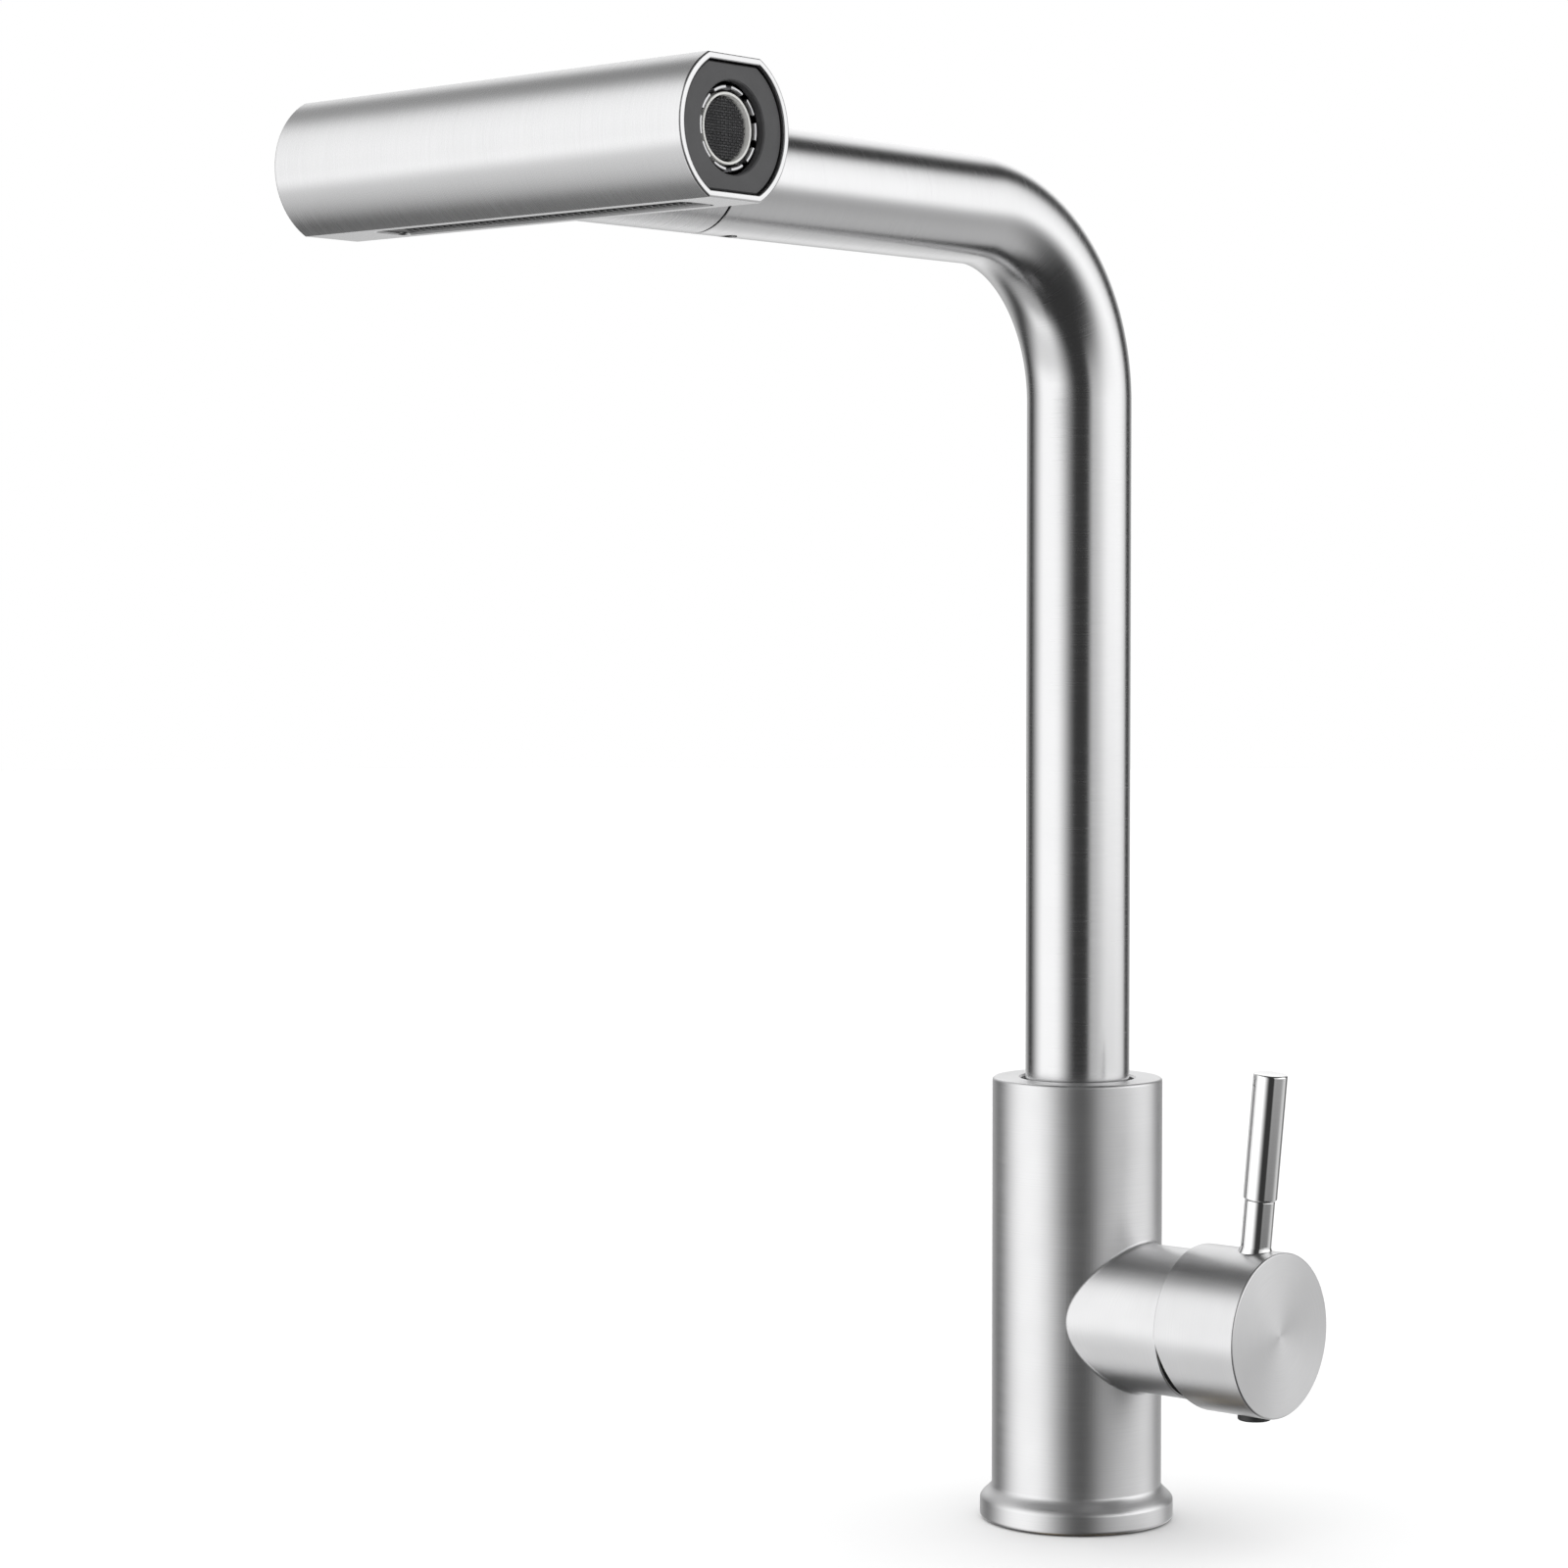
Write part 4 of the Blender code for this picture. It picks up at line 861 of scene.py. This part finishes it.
class TAP_OT_aerator(bpy.types.Operator):
    """Build the aerated outlet in the head's end: plate, notched housing, ring and mesh"""
    bl_idname = "tap.aerator"
    bl_label = "Aerator"

    def execute(self, context):
        sizes = context.scene.tap_sizes
        line = sideways(HEAD)
        plate = end_plate("aerator_plate", sizes, PLATE_LOW.x, PLATE_HIGH.x, 1.0, 10.2 * MM)
        placed(plate, "wand", "grey_plastic", "end_plate")

        outer = HOUSING_HIGH.z - ARM_HEIGHT
        inner = 8.5 * MM
        front, back = HOUSING_HIGH.x, HOUSING_LOW.x
        edge = 0.3 * MM
        housing = turned("aerator_housing_fine",
                         rounded([(outer, back), (outer, front, edge), (inner, front, edge),
                                  (inner, back)], 3, closed=True), line, 160, closed=True)
        notches = 10
        cutters = []
        for index in range(notches):
            turn = (Matrix.Translation(HEAD) @ Matrix.Rotation(2 * math.pi * index / notches, 4,
                                                              "X"))
            cutters.append(block(f"notch_{index}", (front - 1.9 * MM, -0.9 * MM, inner - MM),
                                 (front + MM, 0.9 * MM, outer + MM), turn))
        carved(housing, *cutters)
        placed(housing, "wand", "steel_fittings", "aerator_housing")

        outer = RING_HIGH.z - ARM_HEIGHT
        inner = 7.3 * MM
        edge = 0.2 * MM
        ring = turned("aerator_ring_fine",
                      rounded([(outer, RING_LOW.x), (outer, RING_HIGH.x, edge),
                               (inner, RING_HIGH.x, edge), (inner, RING_LOW.x)], 3, closed=True),
                      line, 128, closed=True)
        placed(ring, "wand", "white_plastic", "aerator_ring")

        mesh = woven_disc("aerator_screen", MESH_HIGH.z - ARM_HEIGHT, MESH_LOW.x, MESH_HIGH.x,
                          0.62 * MM)
        placed(mesh, "wand", "grey_plastic", "aerator_mesh")
        return {"FINISHED"}


class TAP_OT_selector(bpy.types.Operator):
    """Build the spray selector in the head's other end: plate and push button"""
    bl_idname = "tap.selector"
    bl_label = "Spray selector"

    def execute(self, context):
        sizes = context.scene.tap_sizes
        line = sideways(HEAD)
        plate = end_plate("selector_plate", sizes, BUTTON_PLATE_LOW.x, BUTTON_PLATE_HIGH.x, -1.0,
                          9.7 * MM)
        placed(plate, "wand", "grey_plastic", "button_plate")
        front = BUTTON_LOW.x
        radius = BUTTON_HIGH.z - ARM_HEIGHT
        skirt = -58.0 * MM
        stem, shaft = 4.4 * MM, 3.3 * MM
        neck = -54.0 * MM
        dish = 0.5 * MM
        profile = rounded([(0.0, front + dish), (radius * 0.62, front + dish, 0.6 * MM),
                           (radius * 0.72, front, 0.4 * MM), (radius, front, 0.7 * MM),
                           (radius, skirt, 0.3 * MM), (stem, skirt), (stem, neck), (shaft, neck),
                           (shaft, front + 4 * MM), (0.0, front + 4 * MM)], 5)
        button = turned("selector_button", profile, line, 96)
        placed(button, "button", "black_plastic", "mode_button")
        return {"FINISHED"}


# ---------------------------------------------------------------- handle
class TAP_OT_handle(bpy.types.Operator):
    """Build the cap, the lever with its grip, and the plug that hides the grub screw"""
    bl_idname = "tap.handle"
    bl_label = "Handle"

    def execute(self, context):
        sizes = context.scene.tap_sizes
        radius = CAP_HIGH.z - VALVE_HEIGHT
        start, end = CAP_LOW.x, CAP_HIGH.x
        rim = 0.35 * MM
        profile = rounded([(0.0, end), (radius, end, sizes.cap_edge), (radius, start, rim),
                           (sizes.cap_cavity, start, rim), (sizes.cap_cavity, sizes.cap_solid),
                           (0.0, sizes.cap_solid)])
        cap = turned("cap", profile, sideways(BOSS), sizes.facets)
        lean = (Matrix.Translation((start, 0.0, VALVE_HEIGHT))
                @ Matrix.Rotation(-sizes.cap_relief, 4, "Y"))
        beyond = 30 * MM
        relief = block("relief", (-beyond, -beyond, -beyond), (0.0, beyond, 0.0), lean)
        socket_half, socket_start, socket_end = 3.6 * MM, 45 * MM, 61.5 * MM
        socket = block("stem_socket", (socket_start, -socket_half, VALVE_HEIGHT - socket_half),
                       (socket_end, socket_half, VALVE_HEIGHT + socket_half))
        plug_radius = PLUG_HIGH.y
        screw_place = Vector(((PLUG_LOW.x + PLUG_HIGH.x) / 2, 0.0, VALVE_HEIGHT))
        seat, hole_radius, thread_radius = 18.8 * MM, plug_radius + 0.3 * MM, 2.8 * MM
        thread_end = 2 * MM
        screw_hole = turned("screw_hole", [(0.0, beyond), (hole_radius, beyond),
                                           (hole_radius, seat), (thread_radius, seat),
                                           (thread_radius, thread_end), (0.0, thread_end)],
                            downward(screw_place), 48)
        carved(cap, relief, socket, screw_hole)
        placed(cap, "handle", "cap_steel", "handle_cap")

        plug_end = VALVE_HEIGHT - PLUG_LOW.z
        plug_start = VALVE_HEIGHT - PLUG_HIGH.z
        plug = turned("cap_plug", rounded([(0.0, plug_end), (plug_radius, plug_end, 0.5 * MM),
                                           (plug_radius, plug_start), (0.0, plug_start)]),
                      downward(screw_place), 48)
        placed(plug, "handle", "black_plastic", "index_plug")

        axis = Vector((math.sin(sizes.lever_lean), 0.0, math.cos(sizes.lever_lean)))
        root = Vector((sizes.lever_place, 0.0, VALVE_HEIGHT + radius))
        line = straight(root, axis, Y_AXIS)
        joint = sizes.rod_length
        foot, flare, flare_round = -1.2 * MM, 0.9 * MM, 1.2 * MM
        rod = turned("lever_rod_fine",
                     rounded([(0.0, joint), (sizes.rod_radius, joint, 0.3 * MM),
                              (sizes.rod_radius, flare, flare_round),
                              (sizes.rod_radius + flare, foot), (0.0, foot)]), line, 64)
        placed(rod, "handle", "lever_chrome", "lever_rod")
        seam = joint + 0.1 * MM
        grip = turned("lever_grip_fine",
                      rounded([(0.0, sizes.lever_length),
                               (sizes.grip_radius, sizes.lever_length, 0.6 * MM),
                               (sizes.grip_radius, seam, 0.5 * MM), (0.0, seam)]), line, 64)
        placed(grip, "handle", "lever_chrome", "lever_grip")
        return {"FINISHED"}


# ---------------------------------------------------------------- hose
class TAP_OT_hose(bpy.types.Operator):
    """Build the braided hose in the riser and arm"""
    bl_idname = "tap.hose"
    bl_label = "Hose"

    def execute(self, context):
        sizes = context.scene.tap_sizes
        line = spout_line(sizes.bend_radius)
        end_low, end_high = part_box("wand_hose")
        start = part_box("riser_hose")[0].z
        end = spout_travel(-end_low.y, sizes.bend_radius)
        dense_from = spout_travel(-end_high.y - 2 * MM, sizes.bend_radius)
        coarse_steps, fine_steps = 60, 120
        stations = [start + (dense_from - start) * index / coarse_steps
                    for index in range(coarse_steps)]
        stations += [dense_from + (end - dense_from) * index / fine_steps
                     for index in range(fine_steps + 1)]
        profile = [(0.0, start)] + [(sizes.hose_radius, station) for station in stations]
        profile.append((0.0, end))
        hose = turned("braided_hose", profile, line, 40)
        finished(hose, FINISHES["hose_braid"])
        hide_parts("riser_hose", "wand_hose")
        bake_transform(hose)
        return {"FINISHED"}


# ---------------------------------------------------------------- deck fixing
def screw_thread(pitch, depth, low, high):
    """A round section whose radius follows a screw thread between two heights."""
    def section(radius, height, count):
        points = []
        for index in range(count):
            turn = 2 * math.pi * index / count
            cycle = (height / pitch + index / count) % 1.0
            tooth = min(1.0, max(0.0, 1.35 - abs(2 * cycle - 1) * 2.1))
            inside = 1.0 if low < height < high else 0.0
            size = radius - depth * (1 - tooth) * inside
            points.append((size * math.cos(turn), size * math.sin(turn)))
        return points

    return section


def turned_ring(name, inner, outer, low, high, edge, line, count):
    profile = rounded([(outer, high, edge), (outer, low, edge), (inner, low, edge),
                       (inner, high, edge)], 3, closed=True)
    return turned(name, profile, line, count, closed=True)


def side_and_end(name):
    """Outer radius about Z, lowest and highest point of one of the frame's pieces."""
    low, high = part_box(name)
    return (high.y - low.y) / 2, low.z, high.z


class TAP_OT_deck_fixing(bpy.types.Operator):
    """Build what holds the tap to the worktop: gasket, threaded shank, washers, nut and tails"""
    bl_idname = "tap.deck_fixing"
    bl_label = "Deck fixing"

    def execute(self, context):
        sizes = context.scene.tap_sizes
        count = 96
        line = upright()
        shank_radius, shank_bore = 16.4 * MM, 14.2 * MM
        rings = (("base_gasket", "base_gasket_fine", 17.0 * MM, 0.3 * MM, "rubber"),
                 ("rubber_washer", "rubber_washer_fine", 16.9 * MM, 0.7 * MM, "rubber"),
                 ("clamp_washer", "clamp_washer_fine", 16.9 * MM, 0.3 * MM, "steel_fittings"))
        for name, piece, inner, edge, slot in rings:
            outer, low, high = side_and_end(name)
            placed(turned_ring(piece, inner, outer, low, high, edge, line, count), "root", slot,
                   name)

        flange, flange_low, top, foot = 20.0 * MM, 2.0 * MM, SHANK_HIGH.z, SHANK_LOW.z
        depth, row = 0.7 * MM, 0.25 * MM
        thread_top = -2.0 * MM
        rows = int((thread_top - foot) / row)
        profile = rounded([(shank_bore, top, 0.3 * MM), (flange, top, 0.4 * MM),
                           (flange, flange_low, 0.3 * MM), (shank_radius, flange_low),
                           (shank_radius, thread_top)], 3)
        profile += [(shank_radius, thread_top - row * index) for index in range(1, rows)]
        profile += [(shank_radius - depth, foot), (shank_bore, foot)]
        shank = turned("threaded_shank", profile, line, count,
                       screw_thread(sizes.thread_pitch, depth, foot + MM, thread_top), closed=True)
        placed(shank, "root", "brass", "mounting_shank")

        across = NUT_HIGH.y - NUT_LOW.y
        corner = max(NUT_HIGH.x - NUT_LOW.x, across) / 2
        low, high = NUT_LOW.z, NUT_HIGH.z
        blank = round_bar("backnut", corner, low, high, straight(Vector(), Z_AXIS, X_AXIS), 6)
        slope, flat = 1.6 * MM, 2.6 * MM
        bevel = turned("bevel", [(0.0, high), (corner - flat, high), (corner, high - slope),
                                 (corner, low + slope), (corner - flat, low), (0.0, low)],
                       line, count)
        combined(blank, "INTERSECT", bevel)
        hole = shank_radius + 0.5 * MM
        bore = turned("bore", [(0.0, high + MM), (hole + MM, high + MM), (hole + MM, high),
                               (hole, high - MM), (hole, low + MM), (hole + MM, low),
                               (hole + MM, low - MM), (0.0, low - MM)], line, count)
        carved(blank, bore)
        placed(blank, "root", "brass", "shank_nut")

        for name in ("hot_tail", "cold_tail", "outlet_tail"):
            self.make_tail(name)
        return {"FINISHED"}

    def make_tail(self, name):
        low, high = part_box(name)
        place = Vector(((low.x + high.x) / 2, (low.y + high.y) / 2, 0.0))
        collar = (high.x - low.x) / 2
        pipe, bore, edge = 4.0 * MM, 2.8 * MM, 0.3 * MM
        collar_top = low.z + 8 * MM
        groove = 0.5 * MM
        profile = [(bore, high.z), (pipe, high.z, edge), (pipe, collar_top), (collar, collar_top,
                                                                              edge)]
        for step in range(1, 4):
            height = collar_top - step * 1.9 * MM
            profile += [(collar, height + groove), (collar - groove, height),
                        (collar, height - groove)]
        profile += [(collar, low.z, edge), (bore, low.z, edge)]
        tail = turned(name + "_fine", rounded(profile, 3, closed=True), upright(place), 48,
                      closed=True)
        placed(tail, "root", "brass", name)


# ---------------------------------------------------------------- pieces inside
INNER_SLOTS = {
    "brass": ("valve_manifold", "cartridge_nut", "swivel_adapter", "hose_nut", "diverter_spool"),
    "grey_plastic": ("cartridge_housing", "cartridge_base"),
    "white_plastic": ("upper_swivel_bush", "lower_swivel_bush", "cartridge_rotor", "disc_carrier",
                      "check_valve", "flow_straightener"),
    "black_plastic": ("dock_sleeve", "dock_plug", "water_chamber"),
    "rubber": ("cartridge_port_seal", "swivel_oring_upper", "swivel_oring_lower", "dock_oring",
               "aerator_washer", "spool_oring_inner", "spool_oring_outer"),
    "steel_fittings": ("swivel_circlip", "lever_pin", "lever_stem", "handle_grub_screw",
                       "hose_ferrule", "button_spring"),
    "ceramic": ("fixed_ceramic_disc", "moving_ceramic_disc"),
    "hose_braid": ("lower_hose",),
}


class TAP_OT_inner_parts(bpy.types.Operator):
    """Give the valve, swivel, dock and diverter inside the tap their finishes"""
    bl_idname = "tap.inner_parts"
    bl_label = "Inner parts"

    def execute(self, context):
        for slot, names in INNER_SLOTS.items():
            for name in names:
                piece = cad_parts[name]
                piece.data.materials.clear()
                piece.data.materials.append(FINISHES[slot])
        return {"FINISHED"}


# ---------------------------------------------------------------- stage
def light_panel(tree, direction, across, across_soft, up_centre, up_half, up_soft, strength):
    """Light from a soft-edged panel of the sky: angles in degrees, turned from the front."""
    level = node(tree, "VectorMath", [(0, direction), (1, (1.0, 1.0, 0.0))], operation="MULTIPLY")
    level = node(tree, "VectorMath", [(0, level.outputs[0])], operation="NORMALIZE")
    turn = math.radians(across[0])
    facing = (math.cos(turn), math.sin(turn), 0.0)
    beside = node(tree, "VectorMath", [(0, level.outputs[0]), (1, facing)],
                  operation="DOT_PRODUCT")
    beside = node(tree, "Math", [(0, beside.outputs["Value"])], operation="ARCCOSINE")
    rise = node(tree, "SeparateXYZ", [(0, direction)])
    rise = node(tree, "Math", [(0, rise.outputs[2])], operation="ARCSINE")
    rise = node(tree, "Math", [(0, rise.outputs[0]), (1, math.radians(up_centre))],
                operation="SUBTRACT")
    rise = node(tree, "Math", [(0, rise.outputs[0])], operation="ABSOLUTE")
    masks = []
    for angle, half, soft in ((beside, across[1], across_soft), (rise, up_half, up_soft)):
        masks.append(node(tree, "MapRange", [
            ("Value", angle.outputs[0]), ("From Min", math.radians(half - soft)),
            ("From Max", math.radians(half + soft)), ("To Min", 1.0), ("To Max", 0.0)],
            interpolation_type="SMOOTHSTEP").outputs[0])
    both = node(tree, "Math", [(0, masks[0]), (1, masks[1])], operation="MULTIPLY").outputs[0]
    return node(tree, "Math", [(0, both), (1, strength)], operation="MULTIPLY").outputs[0]


# Each panel: (turn from the front, half width), edge softness, height of its middle, half height,
# edge softness, strength. Turns are to the right of the side the tap shows.
LIGHT_PANELS = (
    ((-72.0, 38.0), 24.0, 17.0, 31.0, 8.0, 1.42),
    ((-72.0, 38.0), 24.0, -36.0, 24.0, 8.0, 1.00),
    ((70.5, 49.5), 6.0, 13.0, 27.0, 10.0, 0.75),
    ((80.0, 32.0), 20.0, 18.0, 24.0, 8.0, 0.75),
    ((180.0, 26.0), 12.0, 34.0, 22.0, 8.0, 1.20),
    ((180.0, 32.0), 14.0, -8.0, 24.0, 12.0, 0.56),
    ((-128.0, 22.0), 14.0, 36.0, 14.0, 8.0, 0.50),
    ((140.0, 48.0), 16.0, -34.0, 20.0, 10.0, 0.60),
    ((-110.0, 60.0), 16.0, -66.0, 16.0, 12.0, 0.50),
)
SHADE = 0.045                         # what the dark parts of the studio give back
FILL = 1.26                           # even soft light on matt surfaces


class TAP_OT_stage(bpy.types.Operator):
    """Build the camera, the pale floor and the soft studio light"""
    bl_idname = "tap.stage"
    bl_label = "Stage"

    def execute(self, context):
        stage = context.scene.tap_stage
        lens = bpy.data.cameras.new("camera")
        lens.lens = stage.camera_lens
        lens.sensor_width = 36.0
        lens.clip_start, lens.clip_end = 0.01, 50.0
        camera = bpy.data.objects.new("camera", lens)
        camera.location = stage.camera_place
        camera.rotation_euler = stage.camera_turn
        context.scene.collection.objects.link(camera)
        context.scene.camera = camera
        self.make_floor(context, stage)
        self.make_light(context, stage)
        context.scene.view_settings.view_transform = "Standard"
        return {"FINISHED"}

    def make_floor(self, context, stage):
        rings = [[Vector((0.0, 0.0, -0.2 * MM))]]
        for radius in (0.5, 2.0, stage.floor_radius):
            rings.append([Vector((x, y, -0.2 * MM)) for x, y in circle(radius, 0.0, 96)])
        floor = skinned("floor", rings)
        material, tree, shader = new_finish("pale_floor", stage.floor_colour, 0.0, 0.9)
        cloud = patches(tree, 0.4)
        tinted(tree, shader, stage.floor_colour, cloud, 0.995, 1.005)
        shader.inputs["Specular IOR Level"].default_value = 0.0
        floor.data.materials.append(material)
        floor.visible_glossy = False

    def make_light(self, context, stage):
        world = bpy.data.worlds.new("studio")
        context.scene.world = world
        world.use_nodes = True
        tree = world.node_tree
        tree.nodes.clear()
        place = node(tree, "TexCoord").outputs["Generated"]
        front = stage.camera_turn[2] - math.pi / 2
        direction = node(tree, "Mapping", [("Vector", place), ("Rotation", (0.0, 0.0, -front))],
                         vector_type="POINT").outputs[0]
        total = None
        for panel in LIGHT_PANELS:
            glow = light_panel(tree, direction, *panel)
            if total is not None:
                glow = node(tree, "Math", [(0, total), (1, glow)], operation="ADD").outputs[0]
            total = glow
        total = node(tree, "Math", [(0, total), (1, SHADE)], operation="ADD").outputs[0]
        ray = node(tree, "LightPath")
        matt = node(tree, "Mix", [(0, ray.outputs["Is Diffuse Ray"]), (2, total), (3, FILL)])
        seen = node(tree, "Mix", [(0, ray.outputs["Is Camera Ray"]), (2, matt.outputs[0]),
                                  (3, 1.0)])
        light = node(tree, "Background", [("Color", seen.outputs[0])])
        output = node(tree, "OutputWorld")
        tree.links.new(light.outputs[0], output.inputs[0])


# ---------------------------------------------------------------- panel and registration
OPERATORS = (TAP_OT_stage, TAP_OT_body, TAP_OT_spout, TAP_OT_neck, TAP_OT_head, TAP_OT_outlet,
             TAP_OT_aerator, TAP_OT_selector, TAP_OT_handle, TAP_OT_hose, TAP_OT_deck_fixing,
             TAP_OT_inner_parts)


class TAP_PT_pieces(bpy.types.Panel):
    """Lists the tap's sizes, finishes and pieces"""
    bl_idname = "TAP_PT_pieces"
    bl_label = "Kitchen tap"
    bl_space_type = "VIEW_3D"
    bl_region_type = "UI"
    bl_category = "Tap"

    def draw(self, context):
        for operator in OPERATORS:
            self.layout.operator(operator.bl_idname)
        scene = context.scene
        for group in (scene.tap_stage, scene.tap_sizes, scene.tap_finishes):
            box = self.layout.box()
            for key in group.bl_rna.properties.keys():
                if key not in ("rna_type", "name"):
                    box.prop(group, key)


CLASSES = (TapSizes, TapFinishes, TapStage, *OPERATORS, TAP_PT_pieces)


def register():
    for kind in CLASSES:
        bpy.utils.register_class(kind)
    bpy.types.Scene.tap_sizes = bpy.props.PointerProperty(type=TapSizes)
    bpy.types.Scene.tap_finishes = bpy.props.PointerProperty(type=TapFinishes)
    bpy.types.Scene.tap_stage = bpy.props.PointerProperty(type=TapStage)


def unregister():
    del bpy.types.Scene.tap_stage
    del bpy.types.Scene.tap_finishes
    del bpy.types.Scene.tap_sizes
    for kind in reversed(CLASSES):
        bpy.utils.unregister_class(kind)


def main():
    register()
    make_finishes(bpy.context.scene.tap_finishes)
    bpy.ops.tap.stage()
    bpy.ops.tap.body()
    bpy.ops.tap.spout()
    bpy.ops.tap.neck()
    bpy.ops.tap.head()
    bpy.ops.tap.outlet()
    bpy.ops.tap.aerator()
    bpy.ops.tap.selector()
    bpy.ops.tap.handle()
    bpy.ops.tap.hose()
    bpy.ops.tap.deck_fixing()
    bpy.ops.tap.inner_parts()


if __name__ == "__main__":
    main()
